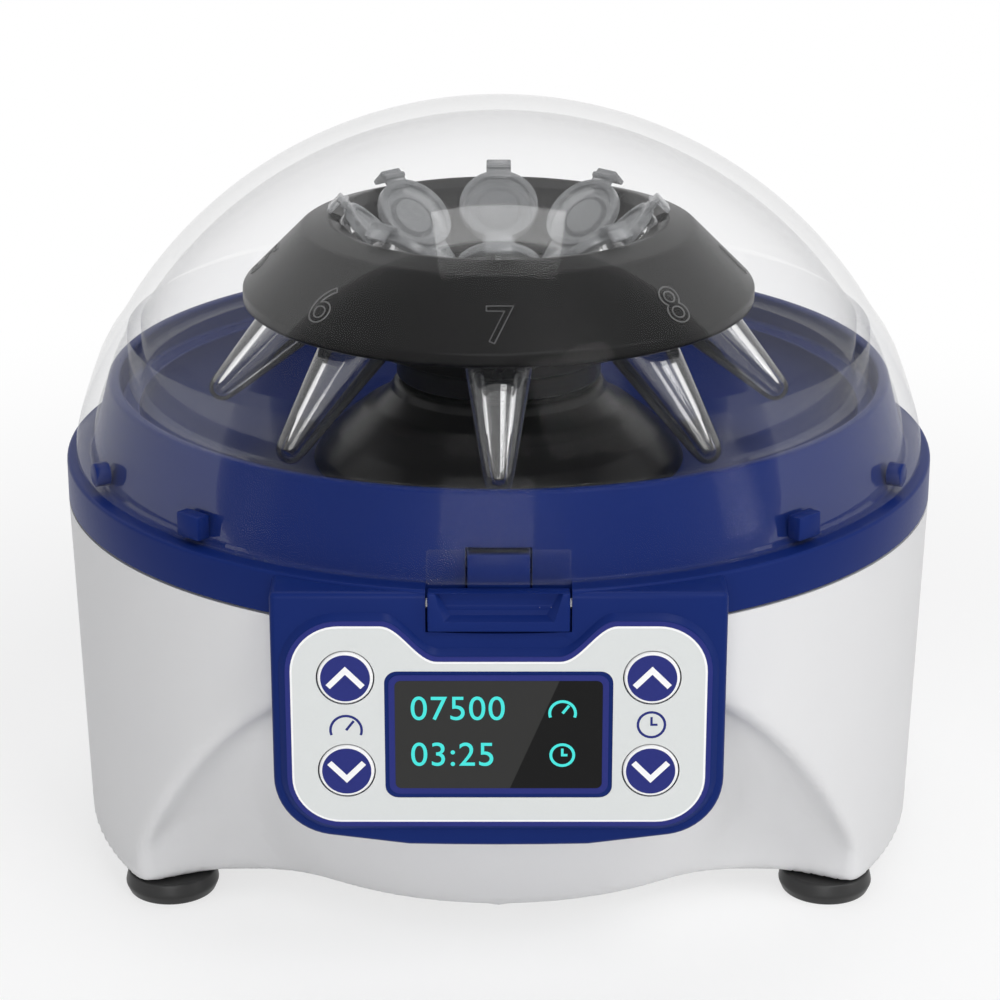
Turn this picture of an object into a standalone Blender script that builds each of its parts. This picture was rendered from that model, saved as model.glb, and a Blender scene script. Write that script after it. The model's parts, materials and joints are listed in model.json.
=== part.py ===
# Mini centrifuge: a domed bench centrifuge with an eight-place rotor for 1.5 ml tubes.
# Lengths are in metres, +Z is up and the control panel faces -Y. Every piece is modelled around
# the spin axis, and the whole assembly is then moved so that its footprint is centred on the origin.
import math

import bpy
import bmesh
from mathutils import Matrix, Vector

MM = 0.001

# Shared clearances, turns and mesh density
quarter_turn = math.pi / 2
half_turn = math.pi
fit_gap = 0.3 * MM
cut_overrun = 4.0 * MM
merge_limit = 0.01 * MM
body_steps = 36
cover_steps = 24
small_steps = 12
tube_steps = 10
arch_steps = 18
cove_steps = 4
belly_steps = 4
corner_steps = 5
dome_steps = 6

# Lower housing. The body goes round the rotor, with room for the tubes' tips
foot_height = 4.0 * MM
rotor_radius = 42.2 * MM
rotor_room = 29.8 * MM
body_radius = rotor_radius + rotor_room
body_draft = 1.5 * MM
body_foot_radius = body_radius - body_draft
seam_z = 61.0 * MM
housing_wall = 2.5 * MM
arch_side_width = 13.5 * MM
arch_half_width = body_radius - arch_side_width
arch_rise = 52.5 * MM
leg_corner_run = 11.8 * MM
leg_corner_x = arch_half_width - leg_corner_run
leg_corner_reach = 5.4 * MM
cove_set_back = 0.5 * MM
belly_inset = 23.8 * MM
belly_lean = math.radians(23.6)
belly_round = 7.0 * MM
belly_start_angle = math.radians(75.0)
hatch_radius = 35.0 * MM
plate_thickness = 2.0 * MM
plate_overlap = 6.5 * MM

# Screws
screw_radius = 1.5 * MM
screw_head_radius = 2.8 * MM
screw_head_height = 1.2 * MM
screw_bite = 1.0 * MM
screw_count = 3

# Feet, on a circle inside the body's edge, and the legs that cover them
foot_radius = 7.7 * MM
foot_edge = 0.8 * MM
foot_stem_radius = 2.0 * MM
foot_inset = 9.23 * MM
foot_angle = math.radians(30.65)
foot_x = (body_radius - foot_inset) * math.cos(foot_angle)
foot_y = (body_radius - foot_inset) * math.sin(foot_angle)
leg_cover = 2.6 * MM
leg_reach = foot_y + leg_cover

# Upper deck: flange band, ledge, raised wall and bowl
ledge_z = 68.0 * MM
flange_edge = 0.5 * MM
deck_wall = 2.4 * MM
ledge_width = 4.0 * MM
wall_lean = 3.4 * MM
wall_foot_radius = body_radius - ledge_width
wall_top_radius = wall_foot_radius - wall_lean
rim_z = 80.8 * MM
rim_edge = 0.7 * MM
rim_width = 1.8 * MM
rim_inner_radius = wall_top_radius - rim_width
step_z = 75.6 * MM
step_inset = 3.1 * MM
step_radius = rim_inner_radius - step_inset
step_width = 1.8 * MM
bowl_floor_z = 64.5 * MM
bowl_run = 16.7 * MM
bowl_floor_radius = step_radius - bowl_run
groove_angle = math.radians(15.0)
motor_opening_radius = 26.0 * MM

# Console
console_half_width = 33.5 * MM
console_inset = 0.6 * MM
console_face_y = console_inset - body_radius
console_depth = 11.4 * MM
console_back_y = console_face_y + console_depth
console_bottom_z = 26.8 * MM
console_corner = 9.5 * MM
console_corner_turn = math.radians(85.0)
console_sag = 1.6 * MM
console_top_drop = 0.4 * MM

# Membrane overlay, display and buttons
overlay_thickness = 0.7 * MM
overlay_half_width = 30.6 * MM
overlay_bottom_z = 31.4 * MM
overlay_top_z = 62.8 * MM
overlay_dip_z = 57.2 * MM
overlay_corner = 7.2 * MM
lobe_inner_x = 17.4 * MM
dip_half_width = 9.0 * MM
display_half_width = 16.2 * MM
display_bottom_z = 36.0 * MM
display_top_z = 55.1 * MM
display_corner = 1.6 * MM
display_border = 1.0 * MM
button_x = 22.5 * MM
button_upper_z = 54.7 * MM
button_lower_z = 39.8 * MM
button_radius = 4.1 * MM
button_proud = 0.3 * MM
button_travel = 0.6 * MM
button_stem_radius = 2.4 * MM
button_head = 1.4 * MM
board_thickness = 1.6 * MM
board_setback = 9.6 * MM
board_front_y = console_face_y + board_setback
board_bottom_z = 36.5 * MM
board_top_z = 60.0 * MM
switch_body = 5.0 * MM
switch_height = 3.2 * MM
plunger_radius = 1.5 * MM
plunger_height = 1.2 * MM

# Latch
latch_half_width = 10.4 * MM
latch_bottom_z = 61.8 * MM
latch_top_z = 67.8 * MM
latch_proud = 0.8 * MM
latch_face_y = console_face_y - latch_proud
latch_thickness = 2.6 * MM
latch_pivot_depth = 2.9 * MM
latch_pivot_y = latch_face_y + latch_pivot_depth
latch_pivot_z = 65.2 * MM
latch_pin_radius = 0.8 * MM
latch_pin_grip = 1.9 * MM
latch_boss = 1.7 * MM
arm_half_width = 4.6 * MM
arm_setback = 2.1 * MM
arm_front_y = latch_pivot_y + arm_setback
arm_thickness = 1.8 * MM
nose_bottom_z = 71.4 * MM
nose_height = 1.2 * MM
nose_reach = 1.2 * MM
latch_swing = math.radians(12.0)
latch_spring_wire = 0.3 * MM
latch_spring_turns = 4
spring_pitch = 0.85 * MM
spring_steps = 6

# Lid: inner lip, dome, skirt, tab and hinge. The dome springs from a shoulder over the lip
lid_wall = 2.6 * MM
lid_edge_inset = 1.5 * MM
lid_edge_radius = body_radius - lid_edge_inset
lid_edge_z = 68.4 * MM
lip_inset = 1.5 * MM
lip_radius = rim_inner_radius - lip_inset
shoulder_inset = 0.3 * MM
shoulder_radius = lip_radius - shoulder_inset
shoulder_angle = math.radians(33.44)
dome_radius = shoulder_radius / math.cos(shoulder_angle)
shoulder_rise = 11.08 * MM
dome_centre_z = rim_z + shoulder_rise - dome_radius * math.sin(shoulder_angle)
lip_wall = 2.3 * MM
lip_bottom_z = 79.8 * MM
tab_half_width = 11.8 * MM
tab_bottom_z = 69.0 * MM
tab_top_z = 73.6 * MM
tab_inset = 0.1 * MM
tab_reach = body_radius - tab_inset
hinge_offset = 2.5 * MM
hinge_y = body_radius + hinge_offset
hinge_z = 70.5 * MM
knuckle_radius = 3.6 * MM
skirt_root_share = 0.75
skirt_run_shares = (0.16, 0.36, 0.53, 0.80, 1.0, 1.0)
skirt_drop_shares = (0.125, 0.235, 0.355, 0.64, 0.90, 1.0)
knuckle_outer_x = 13.6 * MM
knuckle_inner_x = 4.8 * MM
hinge_pin_radius = 1.25 * MM
ear_width = 3.5 * MM
lid_spring_wire = 0.35 * MM
lid_spring_turns = 6

# Motor, its bracket and the cover under the rotor
cover_top_radius = 17.3 * MM
cover_foot_radius = 31.2 * MM
cover_top_z = 78.7 * MM
cover_wall = 1.8 * MM
cover_run_shares = (0.0, 0.12, 0.40, 0.70, 0.93, 1.0)
cover_drop_shares = (0.0, 0.14, 0.38, 0.62, 0.86, 1.0)
shaft_radius = 2.4 * MM
shaft_bottom_z = 38.0 * MM
motor_radius = 14.0 * MM
motor_height = 40.0 * MM
motor_boss_radius = 5.0 * MM
motor_boss_height = 3.0 * MM
bracket_inset = 4.5 * MM
bracket_radius = bowl_floor_radius - bracket_inset
bracket_thickness = 2.0 * MM
bracket_screw_inset = 5.0 * MM
bracket_screw_radius = bracket_radius - bracket_screw_inset
damper_radius = 4.2 * MM
damper_height = 4.0 * MM
motor_face_drop = 0.6 * MM

# Rotor
place_count = 8
front_place = 7
collar_bottom_z = 79.3 * MM
collar_radius = 17.0 * MM
rotor_rim_z = 92.6 * MM
rotor_rim_height = 2.4 * MM
rotor_rim_width = 3.2 * MM
rotor_skin_z = 83.0 * MM
crest_radius = 31.8 * MM
crest_z = 104.6 * MM
crest_height = 1.5 * MM
rim_bevel_share = 0.25
crest_shoulder_share = 0.65
hub_z = 90.7 * MM
nut_radius = 6.5 * MM
nut_height = 5.0 * MM

# Tubes and caps; their axis leans outwards and down
tube_tilt = math.radians(45.0)
cap_axis_radius = 19.5 * MM
cap_top_z = 103.3 * MM
cap_radius = 6.8 * MM
cap_thickness = 1.7 * MM
cap_plug_depth = 3.5 * MM
cap_plug_wall = 0.8 * MM
collar_height = 1.3 * MM
tube_collar_radius = 6.2 * MM
tube_radius = 5.4 * MM
tube_straight = 18.0 * MM
tube_tip_radius = 2.3 * MM
tube_length = 40.1 * MM
tube_wall = 1.0 * MM
seat_depth = 0.5 * MM
strap_width = 4.2 * MM
strap_reach = 9.0 * MM
strap_thickness = 0.9 * MM
thumb_reach = 10.0 * MM
thumb_width = 5.6 * MM
tube_bend_share = 0.55
tip_waist_share = 0.75
cap_root_share = 0.75
cap_edge_share = 0.25
strap_drop_share = 0.10
leg_set_back_share = 0.05

# Rear panel with the supply inlet and the power rocker
rear_half_width = 16.0 * MM
rear_bottom_z = 45.0 * MM
rear_top_z = 58.5 * MM
rear_inset = 1.8 * MM
rear_face_y = body_radius - rear_inset
rear_thickness = 2.5 * MM
inlet_x = -8.0 * MM
inlet_radius = 4.2 * MM
inlet_pin_radius = 1.0 * MM
inlet_depth = 9.0 * MM
socket_share = 0.8
inlet_pin_share = 0.9
rocker_x = 7.5 * MM
rocker_half_width = 4.0 * MM
rocker_half_height = 5.2 * MM
rocker_depth = 4.0 * MM
rocker_proud = 0.7 * MM
rocker_tilt = math.radians(8.0)

# Lid switch under the deck
lid_switch_width = 12.0 * MM
lid_switch_depth = 6.0 * MM
lid_switch_height = 5.5 * MM
lid_switch_setback = 14.5 * MM
lid_switch_y = console_back_y + lid_switch_setback

# Values worked out from the sizes above
housing_floor_z = foot_height + housing_wall
belly_flat_radius = body_radius - belly_inset - belly_round * math.tan((quarter_turn - belly_lean) / 2)
belly_round_z = foot_height + belly_round
deck_bottom_z = seam_z + fit_gap
deck_floor_under_z = bowl_floor_z - deck_wall
overlay_back_y = console_face_y - fit_gap
overlay_face_y = overlay_back_y - overlay_thickness
button_face_y = overlay_face_y - button_proud
console_top_z = ledge_z - console_top_drop
console_inner_y = console_face_y + deck_wall
front_reach = -button_face_y
rear_reach = hinge_y + knuckle_radius
axis_y = (front_reach - rear_reach) / 2
bracket_top_z = deck_floor_under_z - fit_gap - damper_height - fit_gap
mid_z = (rear_bottom_z + rear_top_z) / 2
lid_root_y = lid_edge_radius - lid_wall * skirt_root_share
collar_top_depth = cap_thickness + fit_gap
collar_under_depth = collar_top_depth + collar_height


# Scene and materials

def clear_scene():
    for old in list(bpy.data.objects):
        bpy.data.objects.remove(old, do_unlink=True)


def new_collection(name):
    collection = bpy.data.collections.new(name)
    bpy.context.scene.collection.children.link(collection)
    return collection


def plastic(name, colour, roughness, metallic=0.0, alpha=1.0):
    finish = bpy.data.materials.new(name)
    finish.use_nodes = True
    shader = finish.node_tree.nodes["Principled BSDF"]
    shader.inputs["Base Color"].default_value = (*colour, 1.0)
    shader.inputs["Roughness"].default_value = roughness
    shader.inputs["Metallic"].default_value = metallic
    shader.inputs["Alpha"].default_value = alpha
    finish.diffuse_color = (*colour, alpha)
    return finish


# Object helpers

def place(obj, collection):
    for holder in list(obj.users_collection):
        holder.objects.unlink(obj)
    collection.objects.link(obj)
    return obj


def smooth(obj):
    obj.data.shade_smooth()
    obj.data.set_sharp_from_angle(angle=math.radians(30.0))


def piece(obj, name, finish_args):
    obj.name = name
    obj.data.name = name
    obj.data.materials.clear()
    obj.data.materials.append(plastic(name + "_finish", *finish_args))
    return place(obj, parts)


def cutter(obj, name):
    obj.name = name
    obj.hide_render = True
    obj.display_type = "WIRE"
    return place(obj, cutters)


def turned(points, steps=body_steps, closed=True):
    """A profile of (radius, z) points turned about Z."""
    mesh = bpy.data.meshes.new("profile")
    edges = [(i, i + 1) for i in range(len(points) - 1)]
    if closed:
        edges.append((len(points) - 1, 0))
    mesh.from_pydata([(radius, 0.0, z) for radius, z in points], edges, [])
    obj = bpy.data.objects.new("profile", mesh)
    bpy.context.scene.collection.objects.link(obj)
    screw = obj.modifiers.new("turn", "SCREW")
    screw.steps = steps
    screw.render_steps = steps
    screw.use_merge_vertices = True
    screw.merge_threshold = merge_limit
    return obj


def box(low, high):
    bpy.ops.mesh.primitive_cube_add(size=1.0)
    obj = bpy.context.object
    low, high = Vector(low), Vector(high)
    obj.data.transform(Matrix.Translation((low + high) / 2) @ Matrix.Diagonal((high - low).to_4d()))
    return obj


def rod(radius, start, end, vertices=small_steps):
    start, end = Vector(start), Vector(end)
    bpy.ops.mesh.primitive_cylinder_add(vertices=vertices, radius=radius, depth=(end - start).length)
    obj = bpy.context.object
    turn = (end - start).to_track_quat("Z", "Y").to_matrix().to_4x4()
    obj.data.transform(Matrix.Translation((start + end) / 2) @ turn)
    smooth(obj)
    return obj


def frozen(obj):
    """Replace an object by a plain welded mesh of its evaluated shape."""
    depsgraph = bpy.context.evaluated_depsgraph_get()
    mesh = bpy.data.meshes.new_from_object(obj.evaluated_get(depsgraph))
    work = bmesh.new()
    work.from_mesh(mesh)
    bmesh.ops.remove_doubles(work, verts=work.verts, dist=merge_limit)
    bmesh.ops.recalc_face_normals(work, faces=work.faces)
    work.to_mesh(mesh)
    work.free()
    plain = bpy.data.objects.new(obj.name, mesh)
    plain.matrix_world = obj.matrix_world.copy()
    bpy.context.scene.collection.objects.link(plain)
    bpy.data.objects.remove(obj, do_unlink=True)
    return plain


def slab(outline, near_y, far_y):
    """A flat outline of (x, z) points, as a slab from near_y to far_y."""
    curve = bpy.data.curves.new("outline", "CURVE")
    curve.dimensions = "2D"
    curve.fill_mode = "BOTH"
    curve.extrude = (far_y - near_y) / 2
    spline = curve.splines.new("POLY")
    spline.points.add(len(outline) - 1)
    for point, (x, z) in zip(spline.points, outline):
        point.co = (x, z, 0.0, 1.0)
    spline.use_cyclic_u = True
    obj = bpy.data.objects.new("outline", curve)
    bpy.context.scene.collection.objects.link(obj)
    upright = Matrix.Rotation(quarter_turn, 4, "X")
    obj.matrix_world = Matrix.Translation((0.0, (near_y + far_y) / 2, 0.0)) @ upright
    bpy.context.view_layer.update()
    obj = frozen(obj)
    obj.data.transform(obj.matrix_world)
    obj.matrix_world = Matrix.Identity(4)
    return obj


def boolean(obj, tool, operation, name):
    modifier = obj.modifiers.new(name, "BOOLEAN")
    modifier.operation = operation
    modifier.object = tool
    modifier.solver = "EXACT"
    return cutter(tool, name)


def cut(obj, tool, name):
    return boolean(obj, tool, "DIFFERENCE", name)


def join(obj, tool, name):
    return boolean(obj, tool, "UNION", name)


def arc(centre_x, centre_z, radius, start, end, count=corner_steps, radius_z=None):
    """Points along an arc or, with a second radius, an ellipse."""
    tall = radius if radius_z is None else radius_z
    points = []
    for i in range(count + 1):
        angle = start + (end - start) * i / count
        points.append((centre_x + radius * math.cos(angle), centre_z + tall * math.sin(angle)))
    return points


def rounded_box_outline(half_width, bottom, top, corner):
    left, right = -half_width + corner, half_width - corner
    low, high = bottom + corner, top - corner
    return (arc(right, high, corner, 0.0, quarter_turn)
            + arc(left, high, corner, quarter_turn, half_turn)
            + arc(left, low, corner, -half_turn, -quarter_turn)
            + arc(right, low, corner, -quarter_turn, 0.0))


def coil(name, wire, radius, start_x, end_x, centre_y, centre_z, turns, finish_args):
    """A torsion spring wound about a line along X."""
    curve = bpy.data.curves.new(name, "CURVE")
    curve.dimensions = "3D"
    curve.bevel_depth = wire
    curve.bevel_resolution = 0
    curve.use_fill_caps = True
    spline = curve.splines.new("POLY")
    count = turns * spring_steps
    spline.points.add(count)
    for i, point in enumerate(spline.points):
        angle = math.tau * i / spring_steps
        x = start_x + (end_x - start_x) * i / count
        point.co = (x, centre_y + radius * math.cos(angle), centre_z + radius * math.sin(angle), 1.0)
    obj = bpy.data.objects.new(name, curve)
    bpy.context.scene.collection.objects.link(obj)
    obj = frozen(obj)
    return piece(obj, name, finish_args)


def around(radius, index, count, start=0.0):
    angle = start + math.tau * index / count
    return radius * math.sin(angle), -radius * math.cos(angle)


def pivot(obj, x, y, z):
    """Move an object's origin, leaving its shape where it is. A turned piece is frozen first."""
    obj.data.transform(Matrix.Translation((-x, -y, -z)))
    obj.location = (x, y, z)
    return obj


# Finishes: colour, roughness, metallic, alpha

white_shell = ((0.80, 0.80, 0.80), 0.35)
deep_blue = ((0.010, 0.025, 0.150), 0.30)
clear_shell = ((0.90, 0.92, 0.93), 0.05, 0.0, 0.25)
black_satin = ((0.012, 0.012, 0.012), 0.40)
black_rubber = ((0.010, 0.010, 0.010), 0.75)
panel_grey = ((0.70, 0.72, 0.71), 0.45)
panel_navy = ((0.020, 0.030, 0.190), 0.40)
dark_glass = ((0.015, 0.015, 0.015), 0.10)
steel = ((0.60, 0.60, 0.62), 0.30, 1.0)
board_green = ((0.020, 0.150, 0.060), 0.50)
module_grey = ((0.20, 0.20, 0.21), 0.50)


# Lower housing

def belly_profile(inset):
    """The bowl between the legs: a leaning side and a round lower edge, carried down past the bottom."""
    edge = arc(belly_flat_radius, belly_round_z, belly_round - inset, -belly_lean, -belly_start_angle, belly_steps)
    side_radius, side_z = edge[0]
    top_z = seam_z + cut_overrun
    top_radius = side_radius + (top_z - side_z) * math.tan(belly_lean)
    foot_radius_here = edge[-1][0]
    return [(0.0, top_z), (top_radius, top_z)] + edge + [(foot_radius_here, -cut_overrun), (0.0, -cut_overrun)]


def cove(inset):
    """An elliptic tunnel whose roof comes down to the bottom in a quarter ellipse over the legs."""
    width = arch_half_width + inset
    back = leg_reach - inset - cove_set_back
    depth = body_radius - back
    rings = []
    for i in range(cove_steps + 1):
        angle = quarter_turn * i / cove_steps
        roof = (arch_rise + inset) * math.sin(angle)
        rings.append((-body_radius + depth * math.cos(angle), roof))
    rings.append((-body_radius - cut_overrun, arch_rise + inset))
    verts = []
    for y, roof in rings:
        outline = arc(0.0, foot_height, width, 0.0, half_turn, arch_steps, roof)
        outline += [(-width, -cut_overrun), (width, -cut_overrun)]
        verts += [(x, y, z) for x, z in outline]
    count = len(verts) // len(rings)
    faces = [list(range(count)), list(range(len(verts) - 1, len(verts) - 1 - count, -1))]
    for ring in range(len(rings) - 1):
        for i in range(count):
            low, high = ring * count + i, ring * count + (i + 1) % count
            faces.append([low, low + count, high + count, high])
    mesh = bpy.data.meshes.new("cove")
    mesh.from_pydata(verts, [], faces)
    obj = bpy.data.objects.new("cove", mesh)
    bpy.context.scene.collection.objects.link(obj)
    return frozen(obj)


def arch_tool(side, inset, name):
    """What an arch removes: a cove in front of the leg faces and outside the belly."""
    reach = leg_reach - inset
    far = body_radius + cut_overrun * 2
    edge = arch_half_width + inset + cut_overrun
    flare = leg_corner_reach * (edge - leg_corner_x) / (arch_half_width - leg_corner_x)
    footprint = [(-leg_corner_x, -reach), (leg_corner_x, -reach), (edge, -reach - flare),
                 (edge, -far), (-edge, -far), (-edge, -reach - flare)]
    post = slab(footprint, -far, far)
    post.data.transform(Matrix.Rotation(-quarter_turn, 4, "X"))
    tunnel = cove(inset)
    core = turned(belly_profile(inset), closed=False)
    boolean(tunnel, post, "INTERSECT", name + "_footprint")
    boolean(tunnel, core, "DIFFERENCE", name + "_belly")
    bpy.context.view_layer.update()
    tunnel = frozen(tunnel)
    tunnel.data.transform(Matrix.Rotation(half_turn * side, 4, "Z"))
    for suffix in ("_footprint", "_belly"):
        bpy.data.objects.remove(bpy.data.objects[name + suffix], do_unlink=True)
    return tunnel


def build_lower_housing():
    body = turned([(hatch_radius, seam_z), (body_radius, seam_z), (body_foot_radius, foot_height),
                   (hatch_radius, foot_height)])
    for side, word in ((0, "front"), (1, "rear")):
        cut(body, arch_tool(side, 0.0, word + "_arch"), word + "_arch_cut")
    inside, inside_foot = body_radius - housing_wall, body_foot_radius - housing_wall
    hollow = turned([(0.0, seam_z + cut_overrun), (inside, seam_z + cut_overrun), (inside, seam_z),
                     (inside_foot, housing_floor_z), (0.0, housing_floor_z)], closed=False)
    hollow.data.transform(Matrix.Rotation(half_turn / body_steps, 4, "Z"))
    for side, word in ((0, "front"), (1, "rear")):
        tool = arch_tool(side, housing_wall, word + "_arch_inner")
        cut(hollow, tool, word + "_arch_inner_cut")
    cut(body, hollow, "housing_hollow")
    window = console_outline(-fit_gap, seam_z + cut_overrun)
    cut(body, slab(window, -body_radius - cut_overrun, console_back_y + fit_gap), "console_window")
    window_half = rear_half_width + fit_gap
    window_back = rear_face_y - rear_thickness - cut_overrun
    cut(body, box((-window_half, window_back, rear_bottom_z - fit_gap),
                  (window_half, body_radius + cut_overrun, rear_top_z + fit_gap)), "rear_window")
    high = housing_floor_z + cut_overrun
    for i, (x, y) in enumerate(foot_places()):
        cut(body, rod(foot_stem_radius + fit_gap, (x, y, 0.0), (x, y, high)), "foot_hole_%d" % (i + 1))
    for i in range(screw_count):
        x, y = around(plate_screw_circle(), i, screw_count)
        seat_z = foot_height + screw_head_height + fit_gap
        cut(body, rod(screw_radius + fit_gap, (x, y, 0.0), (x, y, high)), "plate_screw_hole_%d" % (i + 1))
        seat = rod(screw_head_radius + fit_gap, (x, y, 0.0), (x, y, seat_z))
        cut(body, seat, "plate_screw_seat_%d" % (i + 1))
    piece(body, "lower_housing", white_shell)


def foot_places():
    return [(side_x * foot_x, side_y * foot_y) for side_y in (-1, 1) for side_x in (-1, 1)]


def plate_screw_circle():
    return hatch_radius + plate_overlap / 2


def build_feet():
    for i, (x, y) in enumerate(foot_places()):
        top = foot_height - fit_gap
        profile = [(0.0, housing_floor_z), (foot_stem_radius, housing_floor_z),
                   (foot_stem_radius, top), (foot_radius - foot_edge, top),
                   (foot_radius, top - foot_edge), (foot_radius, foot_edge),
                   (foot_radius - foot_edge, 0.0), (0.0, 0.0)]
        foot = turned(profile, small_steps, closed=False)
        foot.location = (x, y, 0.0)
        piece(foot, "foot_%d" % (i + 1), black_rubber)


def build_bottom_plate():
    low = housing_floor_z + fit_gap
    radius = hatch_radius + plate_overlap
    plate = rod(radius, (0.0, 0.0, low), (0.0, 0.0, low + plate_thickness), body_steps)
    for i in range(screw_count):
        x, y = around(plate_screw_circle(), i, screw_count)
        cut(plate, rod(screw_radius + fit_gap, (x, y, 0.0), (x, y, low + plate_thickness + cut_overrun)),
            "plate_hole_%d" % (i + 1))
        build_screw("plate_screw_%d" % (i + 1), x, y, foot_height, low + plate_thickness - fit_gap)
    piece(plate, "bottom_plate", white_shell)


def build_screw(name, x, y, head_z, tip_z):
    """A pan-head screw that points up, with its head's face at head_z."""
    shoulder = head_z + screw_head_height
    profile = [(0.0, tip_z), (screw_radius, tip_z), (screw_radius, shoulder),
               (screw_head_radius, shoulder), (screw_head_radius, head_z), (0.0, head_z)]
    screw = turned(profile, tube_steps, closed=False)
    screw.location = (x, y, 0.0)
    piece(screw, name, steel)


# Upper deck

def deck_profile():
    wall_mid_radius = (wall_foot_radius + wall_top_radius) / 2
    bowl_rise = step_z - bowl_floor_z
    bowl = arc(bowl_floor_radius, step_z, bowl_run, -quarter_turn, 0.0, corner_steps, bowl_rise)
    groove_top_z = step_z - deck_wall
    under = arc(bowl_floor_radius, step_z, bowl_run + deck_wall / 2, -groove_angle, -quarter_turn,
                corner_steps, bowl_rise + deck_wall)
    groove_outer = wall_mid_radius - deck_wall
    outer = [(rim_inner_radius, rim_z - rim_edge), (rim_inner_radius + rim_edge, rim_z),
             (wall_top_radius, rim_z - rim_edge), (wall_foot_radius, ledge_z),
             (body_radius - flange_edge, ledge_z), (body_radius, ledge_z - flange_edge),
             (body_radius, deck_bottom_z), (body_radius - housing_wall, deck_bottom_z),
             (body_radius - housing_wall, ledge_z - deck_wall),
             (wall_foot_radius - deck_wall, ledge_z - deck_wall), (groove_outer, groove_top_z),
             (step_radius + deck_wall, groove_top_z - deck_wall / 2)]
    inner = [(motor_opening_radius, deck_floor_under_z), (motor_opening_radius, bowl_floor_z)]
    top = [(step_radius + step_width, step_z), (rim_inner_radius - rim_edge, step_z + rim_edge)]
    return outer + under + inner + bowl + top


def console_outline(inset, top_z):
    """The console's front view: straight sides, round bottom corners and a slightly bowed bottom."""
    half = console_half_width - inset
    corner = console_corner - inset
    corner_z = console_bottom_z + console_sag + inset + corner
    left = [(-half, top_z)]
    left += arc(-half + corner, corner_z, corner, half_turn, half_turn + console_corner_turn)
    right = [(-x, z) for x, z in reversed(left)]
    return left + [(0.0, console_bottom_z + inset)] + right


def build_upper_deck():
    deck = turned(deck_profile())
    join(deck, slab(console_outline(0.0, console_top_z), console_face_y, console_back_y), "console_block")
    room = console_outline(deck_wall, deck_bottom_z - fit_gap)
    cut(deck, slab(room, console_inner_y, console_back_y + cut_overrun), "console_room")
    opening = rounded_box_outline(display_half_width - display_border, display_bottom_z + display_border,
                                  display_top_z - display_border, display_corner)
    cut(deck, slab(opening, console_face_y - cut_overrun, console_inner_y + cut_overrun), "display_opening")
    for name, x, z in button_places():
        cut(deck, rod(button_radius + fit_gap, (x, console_face_y - cut_overrun, z),
                      (x, console_inner_y + cut_overrun, z)), name + "_hole")
    cut_latch_bay(deck)
    add_hinge_ears(deck)
    for i in range(screw_count):
        x, y = around(bracket_screw_radius, i, screw_count)
        cut(deck, rod(screw_radius + fit_gap, (x, y, deck_floor_under_z - cut_overrun),
                      (x, y, deck_floor_under_z + screw_bite + fit_gap)), "damper_screw_hole_%d" % (i + 1))
    piece(deck, "upper_deck", deep_blue)


def cut_latch_bay(deck):
    bay_half = latch_half_width + fit_gap
    bay_back = latch_pivot_y + latch_boss + fit_gap
    bay_low = latch_bottom_z - fit_gap
    bay = box((-bay_half, latch_face_y - cut_overrun, bay_low), (bay_half, bay_back, ledge_z + cut_overrun))
    cut(deck, bay, "latch_bay")
    slot_half = arm_half_width + fit_gap
    slot_back = arm_front_y + arm_thickness + swing_room() + fit_gap
    slot_top = nose_bottom_z + nose_height + fit_gap
    cut(deck, box((-slot_half, latch_face_y, bay_low), (slot_half, slot_back, slot_top)), "latch_slot")
    reach = latch_half_width + latch_pin_grip + fit_gap
    cut(deck, rod(latch_pin_radius + fit_gap, (-reach, latch_pivot_y, latch_pivot_z),
                  (reach, latch_pivot_y, latch_pivot_z)), "latch_pin_holes")


def swing_room():
    """How far the latch arm's top moves back when the latch is pressed."""
    return (nose_bottom_z + nose_height - latch_pivot_z) * math.sin(latch_swing)


def add_hinge_ears(deck):
    low_y = body_radius - housing_wall - deck_wall
    foot_y_edge = body_radius + deck_wall
    ear_low = deck_bottom_z + flange_edge
    ear_top = ledge_z - flange_edge
    outline = [(low_y, ear_low), (foot_y_edge, ear_low)]
    outline += [(hinge_y + knuckle_radius, hinge_z - knuckle_radius)]
    outline += arc(hinge_y, hinge_z, knuckle_radius, 0.0, half_turn)
    outline += [(hinge_y - knuckle_radius, ear_top), (low_y, ear_top)]
    near = knuckle_outer_x + fit_gap
    for side, word in ((-1, "left"), (1, "right")):
        ear = slab(outline, near, near + ear_width)
        ear.data.transform(Matrix.Rotation(quarter_turn, 4, "Z"))
        if side > 0:
            ear.data.transform(Matrix.Translation((near * 2 + ear_width, 0.0, 0.0)))
        join(deck, ear, word + "_hinge_ear")
    reach = near + ear_width + cut_overrun
    bore = rod(hinge_pin_radius + fit_gap, (-reach, hinge_y, hinge_z), (reach, hinge_y, hinge_z))
    cut(deck, bore, "hinge_pin_holes")


# Console pieces

def button_places():
    return [("button_speed_up", -button_x, button_upper_z),
            ("button_speed_down", -button_x, button_lower_z),
            ("button_time_up", button_x, button_upper_z),
            ("button_time_down", button_x, button_lower_z)]


def overlay_outline():
    """The membrane: two lobes over the buttons and a dip under the latch."""
    half = overlay_half_width
    corner = overlay_corner
    right = arc(half - corner, overlay_bottom_z + corner, corner, -quarter_turn, 0.0)
    right += arc(half - corner, overlay_top_z - corner, corner, 0.0, quarter_turn)
    run = lobe_inner_x - dip_half_width
    drop = overlay_top_z - overlay_dip_z
    for i in range(corner_steps + 1):
        share = i / corner_steps
        fall = drop * (1 - math.cos(half_turn * share)) / 2
        right.append((lobe_inner_x - run * share, overlay_top_z - fall))
    return right + [(-x, z) for x, z in reversed(right)]


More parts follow.
